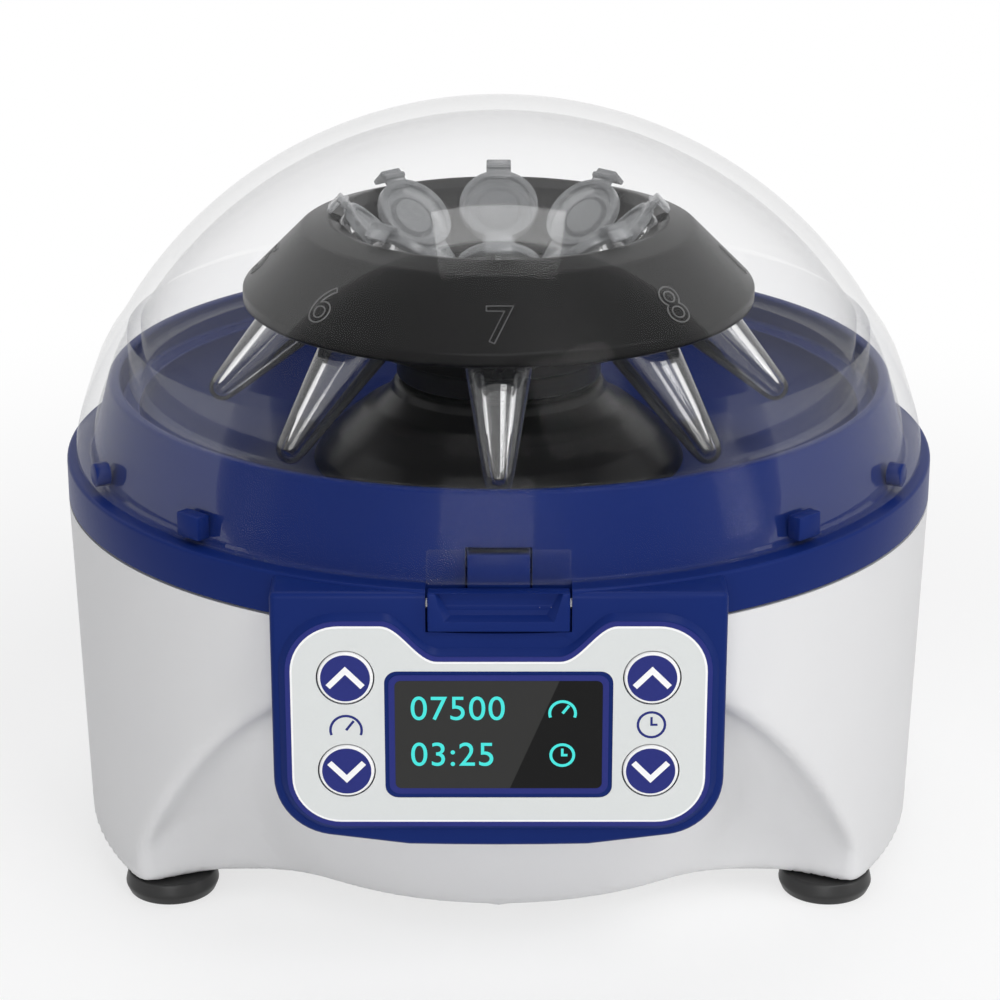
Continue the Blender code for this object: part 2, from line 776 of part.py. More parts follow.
def build_overlay():
    overlay = slab(overlay_outline(), overlay_face_y, overlay_back_y)
    window = rounded_box_outline(display_half_width + fit_gap, display_bottom_z - fit_gap,
                                 display_top_z + fit_gap, display_corner + fit_gap)
    near, far = overlay_face_y - cut_overrun, overlay_back_y + cut_overrun
    cut(overlay, slab(window, near, far), "overlay_window")
    for name, x, z in button_places():
        cut(overlay, rod(button_radius + fit_gap, (x, near, z), (x, far, z)), name + "_overlay_hole")
    piece(overlay, "panel_overlay", panel_grey)


def build_display():
    window = slab(rounded_box_outline(display_half_width, display_bottom_z, display_top_z, display_corner),
                  overlay_face_y, overlay_back_y)
    piece(window, "display_window", dark_glass)
    near = console_inner_y + fit_gap
    module = box((-display_half_width, near, display_bottom_z + display_border),
                 (display_half_width, board_front_y - fit_gap, display_top_z - display_border))
    piece(module, "display_module", module_grey)


def build_buttons():
    for name, x, z in button_places():
        stem_end = board_front_y - switch_height - plunger_height - button_travel - fit_gap
        back = button_face_y + button_head
        button = rod(button_radius, (x, button_face_y, z), (x, back, z), tube_steps * 2)
        stem = rod(button_stem_radius, (x, button_face_y + button_head / 2, z), (x, stem_end, z))
        join(button, stem, name + "_stem")
        piece(pivot(button, x, button_face_y, z), name, panel_navy)


def build_board():
    half = console_half_width - deck_wall - fit_gap
    back_y = board_front_y + board_thickness
    board = box((-half, board_front_y, board_bottom_z), (half, back_y, board_top_z))
    half_switch = switch_body / 2
    top_y = board_front_y - switch_height
    for name, x, z in button_places():
        switch = box((x - half_switch, top_y, z - half_switch),
                     (x + half_switch, board_front_y + board_thickness / 2, z + half_switch))
        join(board, switch, name + "_switch")
        plunger_top, plunger_foot = top_y - plunger_height, top_y + switch_height / 2
        plunger = rod(plunger_radius, (x, plunger_top, z), (x, plunger_foot, z), tube_steps)
        join(board, plunger, name + "_plunger")
    piece(board, "control_board", board_green)


# Latch

def build_latch():
    front = latch_face_y
    back = latch_face_y + latch_thickness
    boss_back = latch_pivot_y + latch_boss
    button = box((-latch_half_width, front, latch_bottom_z), (latch_half_width, back, latch_top_z))
    join(button, rod(latch_boss, (-latch_half_width, latch_pivot_y, latch_pivot_z),
                     (latch_half_width, latch_pivot_y, latch_pivot_z)), "latch_boss_bar")
    arm_back = arm_front_y + arm_thickness
    top = nose_bottom_z + nose_height
    join(button, box((-arm_half_width, latch_pivot_y, latch_pivot_z - latch_boss),
                     (arm_half_width, arm_back, latch_pivot_z + latch_boss)), "latch_arm_root")
    arm = box((-arm_half_width, arm_front_y, latch_pivot_z), (arm_half_width, arm_back, top))
    join(button, arm, "latch_arm")
    join(button, box((-arm_half_width, arm_front_y - nose_reach, nose_bottom_z),
                     (arm_half_width, arm_back - arm_thickness / 2, top)), "latch_nose")
    reach = latch_half_width + cut_overrun
    cut(button, rod(latch_pin_radius + fit_gap, (-reach, latch_pivot_y, latch_pivot_z),
                    (reach, latch_pivot_y, latch_pivot_z)), "latch_bore")
    radius = latch_pin_radius + fit_gap + latch_spring_wire
    spring_room = radius + latch_spring_wire + fit_gap
    room_low = arm_half_width + fit_gap
    room_high = room_low + latch_spring_turns * spring_pitch + (latch_spring_wire + fit_gap) * 2
    room = box((room_low, latch_pivot_y - spring_room, latch_pivot_z - spring_room),
               (room_high, boss_back + cut_overrun, latch_pivot_z + spring_room))
    cut(button, room, "latch_spring_room")
    piece(pivot(button, 0.0, latch_pivot_y, latch_pivot_z), "latch_button", deep_blue)
    pin_end = latch_half_width + latch_pin_grip
    pin = rod(latch_pin_radius, (-pin_end, latch_pivot_y, latch_pivot_z),
              (pin_end, latch_pivot_y, latch_pivot_z), tube_steps)
    piece(pin, "latch_pin", steel)
    start = room_low + fit_gap + latch_spring_wire
    coil("latch_spring", latch_spring_wire, radius, start, start + latch_spring_turns * spring_pitch,
         latch_pivot_y, latch_pivot_z, latch_spring_turns, steel)


# Lid

def lid_profile():
    """Down the outside from the crown, round the skirt's edge and back up the inside."""
    inner_radius = dome_radius - lid_wall
    shoulder_z = rim_z + shoulder_rise
    lip_inner = lip_radius - lip_wall
    lip_angle = math.acos(lip_inner / inner_radius)
    outside = arc(0.0, dome_centre_z, dome_radius, quarter_turn, shoulder_angle, dome_steps)
    outside[0] = (0.0, dome_centre_z + dome_radius)
    skirt_run = lid_edge_radius - shoulder_radius
    skirt_drop = shoulder_z - lid_edge_z
    skirt = [(shoulder_radius + skirt_run * run, shoulder_z - skirt_drop * drop)
             for run, drop in zip(skirt_run_shares, skirt_drop_shares)]
    inside = [(radius - lid_wall, z) for radius, z in reversed(skirt[2:])]
    lip_top_z = inside[-1][1] + lid_wall
    inside += [(lip_radius, lip_top_z), (lip_radius, lip_bottom_z), (lip_inner, lip_bottom_z)]
    crown = arc(0.0, dome_centre_z, inner_radius, lip_angle, quarter_turn, dome_steps)
    crown[-1] = (0.0, dome_centre_z + inner_radius)
    return outside + skirt + inside + crown


def build_lid():
    lid = frozen(turned(lid_profile(), closed=False))
    tab = box((-tab_half_width, -tab_reach, tab_bottom_z), (tab_half_width, -lid_root_y, tab_top_z))
    join(lid, tab, "lid_tab")
    for side, word in ((-1, "left"), (1, "right")):
        low_x, high_x = sorted((side * knuckle_inner_x, side * knuckle_outer_x))
        join(lid, box((low_x, lid_root_y, lid_edge_z + fit_gap),
                      (high_x, hinge_y, hinge_z + knuckle_radius / 2)), "lid_web_" + word)
        knuckle = rod(knuckle_radius, (low_x, hinge_y, hinge_z), (high_x, hinge_y, hinge_z))
        join(lid, knuckle, "lid_knuckle_" + word)
    reach = knuckle_outer_x + cut_overrun
    bore = rod(hinge_pin_radius + fit_gap, (-reach, hinge_y, hinge_z), (reach, hinge_y, hinge_z))
    cut(lid, bore, "lid_pin_bore")
    room = fit_gap * 2
    pocket_half = arm_half_width + room
    pocket = box((-pocket_half, arm_front_y - nose_reach - room, nose_bottom_z - room),
                 (pocket_half, arm_front_y + cut_overrun, nose_bottom_z + nose_height + room))
    cut(lid, pocket, "latch_pocket")
    piece(pivot(lid, 0.0, hinge_y, hinge_z), "lid", clear_shell)


def build_hinge_hardware():
    end = knuckle_outer_x + fit_gap + ear_width
    pin = rod(hinge_pin_radius, (-end, hinge_y, hinge_z), (end, hinge_y, hinge_z), tube_steps)
    piece(pin, "hinge_pin", steel)
    start = knuckle_inner_x - fit_gap * 2 - lid_spring_wire
    coil("lid_spring", lid_spring_wire, hinge_pin_radius + fit_gap + lid_spring_wire, -start, start,
         hinge_y, hinge_z, lid_spring_turns, steel)


# Motor and its mounting

def build_motor_cover():
    low = bowl_floor_z + fit_gap
    run = cover_foot_radius - cover_top_radius
    rise = cover_top_z - low
    outer = [(cover_top_radius + run * out, cover_top_z - rise * down)
             for out, down in zip(cover_run_shares, cover_drop_shares)]
    inner = [(radius - cover_wall, z) for radius, z in reversed(outer[1::2])]
    opening = shaft_radius + fit_gap * 2
    roof = cover_top_z - cover_wall
    profile = [(opening, cover_top_z)] + outer + inner + [(opening, roof)]
    piece(turned(profile, cover_steps), "motor_cover", black_satin)


def build_motor():
    top = bracket_top_z + motor_face_drop
    body = rod(motor_radius, (0.0, 0.0, top - motor_height), (0.0, 0.0, top), small_steps * 2)
    boss_low, boss_high = top - motor_boss_height, top + motor_boss_height
    boss = rod(motor_boss_radius, (0.0, 0.0, boss_low), (0.0, 0.0, boss_high))
    join(body, boss, "motor_boss")
    flange_top = bracket_top_z - bracket_thickness - fit_gap
    flange = rod(motor_radius + deck_wall, (0.0, 0.0, flange_top - plate_thickness), (0.0, 0.0, flange_top),
                 small_steps * 2)
    join(body, flange, "motor_flange")
    bore_low, bore_high = shaft_bottom_z - fit_gap, top + motor_height
    bore = rod(shaft_radius + fit_gap, (0.0, 0.0, bore_low), (0.0, 0.0, bore_high))
    cut(body, bore, "motor_bore")
    piece(body, "motor_body", steel)


def build_bracket():
    low = bracket_top_z - bracket_thickness
    through_low, through_high = low - cut_overrun, bracket_top_z + cut_overrun
    plate = rod(bracket_radius, (0.0, 0.0, low), (0.0, 0.0, bracket_top_z), small_steps * 2)
    bore = rod(motor_radius + fit_gap, (0.0, 0.0, through_low), (0.0, 0.0, through_high), small_steps * 2)
    cut(plate, bore, "bracket_bore")
    for i in range(screw_count):
        x, y = around(bracket_screw_radius, i, screw_count)
        hole = screw_radius + fit_gap
        cut(plate, rod(hole, (x, y, through_low), (x, y, through_high)), "bracket_hole_%d" % (i + 1))
        start = bracket_top_z + fit_gap
        damper = turned([(damper_radius, start + damper_height), (damper_radius, start), (hole, start),
                         (hole, start + damper_height)], small_steps)
        damper.location = (x, y, 0.0)
        piece(damper, "damper_%d" % (i + 1), black_rubber)
        build_screw("bracket_screw_%d" % (i + 1), x, y, low - fit_gap - screw_head_height,
                    deck_floor_under_z + screw_bite)
    piece(plate, "motor_bracket", steel)


def build_lid_switch():
    top = deck_floor_under_z - fit_gap
    half = lid_switch_width / 2
    switch = box((-half, lid_switch_y, top - lid_switch_height),
                 (half, lid_switch_y + lid_switch_depth, top))
    piece(switch, "lid_switch", black_satin)


# Rotor and tubes

def rotor_profile():
    """The rotor's section: a rim and cone outside, and a funnel where the tube mouths sit."""
    rim_top = rotor_rim_z + rotor_rim_height
    bevel = rotor_rim_height * rim_bevel_share
    bore = shaft_radius + fit_gap
    seat_level = collar_under_depth + fit_gap
    funnel_rise = cap_top_z - cap_axis_radius - (seat_level - seat_depth) / math.sin(tube_tilt)
    mouth_radius = crest_z - funnel_rise
    seat_foot = hub_z - funnel_rise
    return [(crest_radius, crest_z), (rotor_radius - bevel, rim_top + bevel), (rotor_radius, rim_top),
            (rotor_radius, rotor_rim_z + bevel), (rotor_radius - bevel, rotor_rim_z),
            (rotor_radius - rotor_rim_width, rotor_rim_z), (collar_radius, rotor_skin_z),
            (collar_radius, collar_bottom_z), (bore, collar_bottom_z), (bore, hub_z), (seat_foot, hub_z),
            (mouth_radius, crest_z),
            (mouth_radius + crest_height / 2, crest_z + crest_height * crest_shoulder_share),
            ((mouth_radius + crest_radius) / 2, crest_z + crest_height)]


def place_number(index):
    """The number of a rotor place, counted anticlockwise from the front."""
    return (index + front_place - 1) % place_count + 1


def tube_frame(index):
    """Turn the tube's own frame, +Z along its axis to the cap, to its place in the rotor."""
    spin = Matrix.Rotation(math.tau * index / place_count, 4, "Z")
    lean = Matrix.Rotation(-tube_tilt, 4, "X")
    return spin @ Matrix.Translation((0.0, -cap_axis_radius, cap_top_z)) @ lean


def build_rotor():
    rotor = turned(rotor_profile())
    seat = collar_under_depth + fit_gap
    notch_half = strap_width / 2 + fit_gap
    for i in range(place_count):
        frame = tube_frame(i)
        bore = rod(tube_radius + fit_gap, (0.0, 0.0, 0.0), (0.0, 0.0, -tube_straight - cut_overrun * 2))
        bore.data.transform(frame)
        cut(rotor, bore, "tube_bore_%d" % (i + 1))
        recess = rod(tube_collar_radius + fit_gap, (0.0, 0.0, cut_overrun), (0.0, 0.0, -seat))
        recess.data.transform(frame)
        cut(rotor, recess, "collar_seat_%d" % (i + 1))
        notch = box((-notch_half, -strap_reach - fit_gap, -seat - seat_depth), (notch_half, 0.0, 0.0))
        notch.data.transform(frame)
        cut(rotor, notch, "strap_notch_%d" % (i + 1))
    piece(rotor, "rotor", black_satin)


def build_tubes():
    """Tubes with a collar, a straight upper part and a cone down to a rounded tip."""
    inside = tube_radius - tube_wall
    tip_z = -tube_length
    tip_side_z = tip_z + tube_tip_radius
    bend_radius = tube_tip_radius * tip_waist_share
    bend_z = tip_side_z - tube_tip_radius * tube_bend_share
    profile = [(inside, -collar_top_depth), (tube_collar_radius, -collar_top_depth),
               (tube_collar_radius, -collar_under_depth), (tube_radius, -collar_under_depth),
               (tube_radius, -tube_straight), (tube_tip_radius, tip_side_z), (bend_radius, bend_z),
               (0.0, tip_z), (0.0, tip_z + tube_wall),
               (tube_tip_radius - tube_wall, tip_side_z + tube_wall),
               (inside, -tube_straight), (inside, -collar_top_depth)]
    for i in range(place_count):
        tube = frozen(turned(profile, tube_steps, closed=False))
        tube.matrix_world = tube_frame(i)
        piece(tube, "tube_%d" % place_number(i), clear_shell)
        build_cap("cap_%d" % place_number(i), tube_frame(i))


def build_cap(name, frame):
    """A flat cap with its plug, a thumb tab towards the hub and a hinge strap towards the rim."""
    plug = tube_radius - tube_wall - fit_gap
    hollow = plug - cap_plug_wall
    depth = cap_thickness + cap_plug_depth
    roof = cap_thickness / 2
    profile = [(0.0, 0.0), (cap_radius, 0.0), (cap_radius, -cap_thickness), (plug, -cap_thickness),
               (plug, -depth), (hollow, -depth), (hollow, -roof), (0.0, -roof)]
    cap = frozen(turned(profile, tube_steps, closed=False))
    root = cap_radius * cap_root_share
    edge = cap_thickness * cap_edge_share
    half = thumb_width / 2
    join(cap, box((-half, root, edge - cap_thickness), (half, thumb_reach, -edge)), name + "_thumb")
    half = strap_width / 2
    strap_z = -cap_thickness * strap_drop_share
    strap = box((-half, -strap_reach, strap_z - strap_thickness), (half, -root, strap_z))
    join(cap, strap, name + "_strap")
    leg_back = cap_thickness * leg_set_back_share - strap_reach
    leg = box((-half, leg_back, -collar_under_depth), (half, strap_thickness - strap_reach, -edge))
    join(cap, leg, name + "_strap_leg")
    bpy.context.view_layer.update()
    cap = frozen(cap)
    for suffix in ("_thumb", "_strap", "_strap_leg"):
        bpy.data.objects.remove(bpy.data.objects[name + suffix], do_unlink=True)
    cap.matrix_world = frame
    piece(cap, name, clear_shell)


def build_shaft_and_nut():
    tip = hub_z + nut_height - fit_gap
    shaft = rod(shaft_radius, (0.0, 0.0, shaft_bottom_z), (0.0, 0.0, tip))
    piece(shaft, "motor_shaft", steel)
    low = hub_z + fit_gap
    nut = rod(nut_radius, (0.0, 0.0, low), (0.0, 0.0, low + nut_height))
    bore = rod(shaft_radius + fit_gap, (0.0, 0.0, low - cut_overrun), (0.0, 0.0, tip + fit_gap))
    cut(nut, bore, "nut_bore")
    piece(nut, "rotor_nut", black_satin)


# Rear panel

def build_rear_panel():
    back = rear_face_y - rear_thickness
    panel = box((-rear_half_width, back, rear_bottom_z), (rear_half_width, rear_face_y, rear_top_z))
    low_y, high_y = back - cut_overrun, rear_face_y + cut_overrun
    inlet_hole = rod(inlet_radius + fit_gap, (inlet_x, low_y, mid_z), (inlet_x, high_y, mid_z))
    cut(panel, inlet_hole, "inlet_hole")
    half_width = rocker_half_width + fit_gap
    half_height = rocker_half_height + fit_gap + rocker_proud
    cut(panel, box((rocker_x - half_width, low_y, mid_z - half_height),
                   (rocker_x + half_width, high_y, mid_z + half_height)), "rocker_hole")
    piece(panel, "rear_panel", white_shell)
    inlet = rod(inlet_radius, (inlet_x, rear_face_y - inlet_depth, mid_z), (inlet_x, rear_face_y, mid_z))
    socket = rod(inlet_radius - screw_bite, (inlet_x, rear_face_y - inlet_depth * socket_share, mid_z),
                 (inlet_x, high_y, mid_z))
    cut(inlet, socket, "inlet_socket")
    pin = rod(inlet_pin_radius, (inlet_x, rear_face_y - inlet_depth * inlet_pin_share, mid_z),
              (inlet_x, rear_face_y - screw_bite, mid_z), tube_steps)
    join(inlet, pin, "inlet_pin")
    piece(inlet, "power_inlet", black_satin)


def build_power_switch():
    """A rocker with a shallow V face, stored with its lower half pressed."""
    top = rocker_half_height
    face = rocker_depth
    edge = face + rocker_proud
    outline = [(-top, 0.0), (-top, edge), (0.0, face), (top, edge), (top, 0.0)]
    rocker = slab(outline, rocker_x - rocker_half_width, rocker_x + rocker_half_width)
    swap = Matrix(((0.0, 1.0, 0.0, 0.0), (0.0, 0.0, 1.0, 0.0), (1.0, 0.0, 0.0, 0.0), (0.0, 0.0, 0.0, 1.0)))
    rocker.data.transform(swap)
    rocker.location = (0.0, rear_face_y - rocker_depth, mid_z)
    rocker.rotation_euler = (-rocker_tilt, 0.0, 0.0)
    piece(rocker, "power_switch", black_satin)


# Assembly

clear_scene()
parts = new_collection("mini_centrifuge")
cutters = new_collection("cutters")

build_lower_housing()
build_feet()
build_bottom_plate()
build_upper_deck()
build_overlay()
build_display()
build_buttons()
build_board()
build_latch()
build_lid()
build_hinge_hardware()
build_motor_cover()
build_motor()
build_bracket()
build_lid_switch()
build_rotor()
build_tubes()
build_shaft_and_nut()
build_rear_panel()
build_power_switch()

# The footprint's centre is the origin: one empty carries every piece
stand = bpy.data.objects.new("stand", None)
parts.objects.link(stand)
for made in list(parts.objects) + list(cutters.objects):
    if made is not stand:
        made.parent = stand
stand.location = (0.0, axis_y, 0.0)
bpy.context.view_layer.update()
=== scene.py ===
import json
import math

import bmesh
import bpy
from mathutils import Matrix, Vector


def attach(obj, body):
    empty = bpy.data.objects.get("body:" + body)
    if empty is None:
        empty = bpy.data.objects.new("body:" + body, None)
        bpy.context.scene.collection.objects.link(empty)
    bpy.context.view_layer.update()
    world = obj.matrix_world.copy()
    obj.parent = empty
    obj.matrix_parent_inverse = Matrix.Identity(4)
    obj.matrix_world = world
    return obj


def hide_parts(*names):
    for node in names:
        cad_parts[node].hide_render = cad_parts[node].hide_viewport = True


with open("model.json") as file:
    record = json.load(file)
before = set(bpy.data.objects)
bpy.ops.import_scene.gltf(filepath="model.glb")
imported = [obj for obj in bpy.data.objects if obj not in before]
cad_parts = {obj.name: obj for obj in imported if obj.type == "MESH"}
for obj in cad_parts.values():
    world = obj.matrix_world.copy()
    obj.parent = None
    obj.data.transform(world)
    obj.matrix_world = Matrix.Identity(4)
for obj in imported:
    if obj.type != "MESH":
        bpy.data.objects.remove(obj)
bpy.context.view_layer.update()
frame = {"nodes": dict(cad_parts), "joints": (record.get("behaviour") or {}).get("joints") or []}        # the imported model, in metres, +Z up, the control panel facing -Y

mm = 0.001
spinJoint = next(joint for joint in frame["joints"] if joint["name"] == "rotor_spin")
axisShift = Matrix.Translation((0.0, spinJoint["pos_m"][1], 0.0))   # pieces are drawn round the spin axis
scene = bpy.context.scene
made = bpy.data.collections.new("miniCentrifuge")
scene.collection.children.link(made)


# Mesh helpers. Lengths below are in millimetres until dress turns them into metres

def newObject(name, mesh):
    obj = bpy.data.objects.new(name, mesh)
    made.objects.link(obj)
    return obj


def meshFrom(name, verts, faces):
    mesh = bpy.data.meshes.new(name)
    mesh.from_pydata([tuple(v) for v in verts], [], faces)
    work = bmesh.new()
    work.from_mesh(mesh)
    bmesh.ops.remove_doubles(work, verts=work.verts, dist=0.0005)
    bmesh.ops.recalc_face_normals(work, faces=work.faces)
    work.to_mesh(mesh)
    work.free()
    return newObject(name, mesh)


def arcPoints(cx, cy, radius, start, end, count, tall=None):
    tall = radius if tall is None else tall
    angles = [math.radians(start + (end - start) * i / count) for i in range(count + 1)]
    return [(cx + radius * math.cos(a), cy + tall * math.sin(a)) for a in angles]


def roundCorners(points, closed=True, count=5):
    # each point is (x, y) or (x, y, radius); a radius turns the corner into an arc
    result = []
    total = len(points)
    for i, point in enumerate(points):
        radius = point[2] if len(point) > 2 else 0.0
        here = Vector(point[:2])
        if radius <= 0.0 or (not closed and i in (0, total - 1)):
            result.append(tuple(here))
            continue
        back = Vector(points[i - 1][:2]) - here
        ahead = Vector(points[(i + 1) % total][:2]) - here
        half = back.angle(ahead) / 2
        reach = min(radius / math.tan(half), back.length * 0.49, ahead.length * 0.49)
        start = here + back.normalized() * reach
        end = here + ahead.normalized() * reach
        for step in range(count + 1):
            t = step / count
            result.append(tuple(start * (1 - t) ** 2 + here * 2 * t * (1 - t) + end * t ** 2))
    return result


def lathe(name, profile, steps=160, closed=True):
    # profile is a list of (radius, z); a radius of 0 makes a pole
    verts = []
    rings = []
    for radius, z in profile:
        if radius < 0.001:
            rings.append([len(verts)] * steps)
            verts.append((0.0, 0.0, z))
            continue
        rings.append(range(len(verts), len(verts) + steps))
        for i in range(steps):
            a = math.tau * i / steps
            verts.append((radius * math.cos(a), radius * math.sin(a), z))
    faces = []
    count = len(profile)
    for j in range(count if closed else count - 1):
        low, high = rings[j], rings[(j + 1) % count]
        for i in range(steps):
            n = (i + 1) % steps
            face = [low[i], low[n], high[n], high[i]]
            face = [v for k, v in enumerate(face) if v != face[k - 1]]
            if len(set(face)) > 2:
                faces.append(face)
    return meshFrom(name, verts, faces)


def prism(name, outline, nearY, farY):
    # an outline of (x, z) points between two planes across Y
    count = len(outline)
    verts = [(x, nearY, z) for x, z in outline] + [(x, farY, z) for x, z in outline]
    faces = [list(range(count)), list(range(2 * count - 1, count - 1, -1))]
    faces += [[i, (i + 1) % count, count + (i + 1) % count, count + i] for i in range(count)]
    return meshFrom(name, verts, faces)


def block(name, low, high):
    outline = [(low[0], low[2]), (high[0], low[2]), (high[0], high[2]), (low[0], high[2])]
    return prism(name, outline, low[1], high[1])


def rod(name, radius, start, end, steps=32):
    start, end = Vector(start), Vector(end)
    obj = lathe(name, [(0.0, 0.0), (radius, 0.0), (radius, (end - start).length), (0.0, (end - start).length)],
                steps, closed=False)
    turn = (end - start).to_track_quat("Z", "Y").to_matrix().to_4x4()
    obj.data.transform(Matrix.Translation(start) @ turn)
    return obj


def bake(obj):
    # the evaluated object as a plain mesh, its modifiers gone
    bpy.context.view_layer.update()
    mesh = bpy.data.meshes.new_from_object(obj.evaluated_get(bpy.context.evaluated_depsgraph_get()))
    plain = newObject(obj.name + "Plain", mesh)
    name = obj.name
    bpy.data.objects.remove(obj, do_unlink=True)
    plain.name = name
    return plain


def combine(obj, tool, operation="UNION"):
    modifier = obj.modifiers.new(operation.lower(), "BOOLEAN")
    modifier.operation = operation
    modifier.object = tool
    modifier.solver = "EXACT"
    obj = bake(obj)
    bpy.data.objects.remove(tool, do_unlink=True)
    return obj


def carve(obj, tool):
    return combine(obj, tool, "DIFFERENCE")


def gather(name, objects):
    # several meshes as one object
    work = bmesh.new()
    for obj in objects:
        work.from_mesh(obj.data)
        bpy.data.objects.remove(obj, do_unlink=True)
    mesh = bpy.data.meshes.new(name)
    work.to_mesh(mesh)
    work.free()
    return newObject(name, mesh)


def bevel(obj, width, segments=3, angle=30.0):
    modifier = obj.modifiers.new("bevel", "BEVEL")
    modifier.width = width
    modifier.segments = segments
    modifier.limit_method = "ANGLE"
    modifier.angle_limit = math.radians(angle)
    return bake(obj)


def dress(obj, material, body, nodes=(), smooth=35.0):
    # scale to metres, move to the spin axis, shade, colour and hand the piece to its body
    obj.data.transform(axisShift @ Matrix.Scale(mm, 4))
    obj.data.materials.clear()
    obj.data.materials.append(material)
    obj.data.shade_smooth()
    obj.data.set_sharp_from_angle(angle=math.radians(smooth))
    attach(obj, body)
    if nodes:
        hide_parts(*nodes)
    return obj


# Shader helpers

class Sock:
    def __init__(self, paint, socket):
        self.paint = paint
        self.socket = socket

    def math(self, operation, left, right):
        return self.paint.node("ShaderNodeMath", {"operation": operation}, {0: left, 1: right})

    def __add__(self, other):
        return self.math("ADD", self, other)

    def __radd__(self, other):
        return self.math("ADD", other, self)

    def __sub__(self, other):
        return self.math("SUBTRACT", self, other)

    def __rsub__(self, other):
        return self.math("SUBTRACT", other, self)

    def __mul__(self, other):
        return self.math("MULTIPLY", self, other)

    def __rmul__(self, other):
        return self.math("MULTIPLY", other, self)

    def clamp(self):
        return self.paint.node("ShaderNodeClamp", {}, {"Value": self})


class Tree:
    # any node tree: a material's, the world's or a Geometry Nodes group
    def __init__(self, tree):
        self.tree = tree

    def node(self, kind, settings=None, values=None, output=0):
        new = self.tree.nodes.new(kind)
        for key, value in (settings or {}).items():
            setattr(new, key, value)
        for key, value in (values or {}).items():
            self.feed(new.inputs[key], value)
        return Sock(self, new.outputs[output])

    def feed(self, socket, value):
        if isinstance(value, Sock):
            self.tree.links.new(value.socket, socket)
        elif isinstance(value, (tuple, list)) and len(value) == 3 and socket.type == "RGBA":
            socket.default_value = (*value, 1.0)
        else:
            socket.default_value = value

    def mix(self, factor, first, second):
        blend = self.tree.nodes.new("ShaderNodeMix")
        blend.data_type = "RGBA"
        self.feed(blend.inputs[0], factor)
        self.feed(blend.inputs[6], first)
        self.feed(blend.inputs[7], second)
        return Sock(self, blend.outputs[2])

    def seen(self):
        # 1 for rays from the camera, also by way of glass or a reflection
        rays = [self.node("ShaderNodeLightPath", {}, {}, "Is %s Ray" % kind)
                for kind in ("Camera", "Glossy", "Transmission")]
        return (rays[0] + rays[1] + rays[2]).clamp()


class Paint(Tree):
    # one material with its Principled shader
    def __init__(self, name):
        self.material = bpy.data.materials.new(name)
        self.material.use_nodes = True
        super().__init__(self.material.node_tree)
        self.shader = self.tree.nodes["Principled BSDF"]
        self.output = self.tree.nodes["Material Output"]

    def set(self, **values):
        for key, value in values.items():
            self.feed(self.shader.inputs[key.replace("_", " ")], value)
        return self

    def place(self, scale):
        coords = self.node("ShaderNodeTexCoord", {}, {}, "Object")
        return self.node("ShaderNodeMapping", {}, {"Vector": coords, "Scale": (scale, scale, scale)})

    def noise(self, size, detail=3.0, roughness=0.5):
        # size is the length of one blotch in millimetres
        return self.node("ShaderNodeTexNoise", {}, {"Vector": self.place(1.0 / (size * mm)), "Scale": 1.0,
                                                    "Detail": detail, "Roughness": roughness})

    def bump(self, height, distance):
        return self.node("ShaderNodeBump", {}, {"Height": height, "Distance": distance * mm, "Strength": 1.0})

    def facing(self):
        return self.node("ShaderNodeLayerWeight", {}, {"Blend": 0.5}, "Facing")

    def blend(self, share, whole):
        # the Principled shader over another one, by share
        body = Sock(self, self.shader.outputs[0])
        mixed = self.node("ShaderNodeMixShader", {}, {0: share, 1: body, 2: whole})
        self.tree.links.new(mixed.socket, self.output.inputs["Surface"])


def moulded(name, colour, shade, roughness, grain, depth, coat=0.0, gloss=0.5):
    # moulded plastic: a faint blotch in the colour, a fine spark-eroded grain and uneven gloss
    paint = Paint(name)
    blotch = paint.noise(22.0, 2.0)
    fine = paint.noise(grain, 2.0, 0.6)
    paint.set(Base_Color=paint.mix(blotch, colour, shade), Roughness=fine * 0.10 + (roughness - 0.05),
              Normal=paint.bump(fine, depth), Coat_Weight=coat, Coat_Roughness=0.08, Specular_IOR_Level=gloss)
    return paint.material


def printedInk(name, colour, shade):
    paint = Paint(name)
    weave = paint.noise(0.5, 2.0)
    paint.set(Base_Color=paint.mix(weave, colour, shade), Roughness=weave * 0.08 + 0.40,
              Normal=paint.bump(weave, 0.004), Specular_IOR_Level=0.15)
    return paint.material


def metal(name, colour, roughness):
    paint = Paint(name)
    turned = paint.noise(0.6, 3.0)
    paint.set(Base_Color=paint.mix(turned, colour, tuple(c * 0.82 for c in colour)), Metallic=1.0,
              Roughness=turned * 0.16 + (roughness - 0.08), Normal=paint.bump(turned, 0.004))
    return paint.material


def clearPlastic(name, tint, edge, low, high, gloss, roughness, power=3.0):
    # a thin clear wall: nearly nothing face on, a grey body and a sheen where it turns away
    paint = Paint(name)
    smear = paint.noise(16.0, 2.0)
    grazing = paint.node("ShaderNodeMath", {"operation": "POWER"}, {0: paint.facing(), 1: power})
    paint.set(Base_Color=paint.mix(grazing, tint, edge), Roughness=smear * 0.04 + roughness, IOR=1.49)
    through = paint.node("ShaderNodeBsdfTransparent", {}, {"Color": (0.997, 0.997, 0.998)})
    sheen = paint.node("ShaderNodeBsdfGlossy", {},
                       {"Color": (1.0, 1.0, 1.0), "Roughness": smear * 0.03 + roughness})
    shine = paint.node("ShaderNodeFresnel", {}, {"IOR": 1.45}) * gloss
    skin = paint.node("ShaderNodeMixShader", {}, {0: shine, 1: through, 2: sheen})
    paint.blend(1.0 - (grazing * (high - low) + low), skin)
    return paint.material


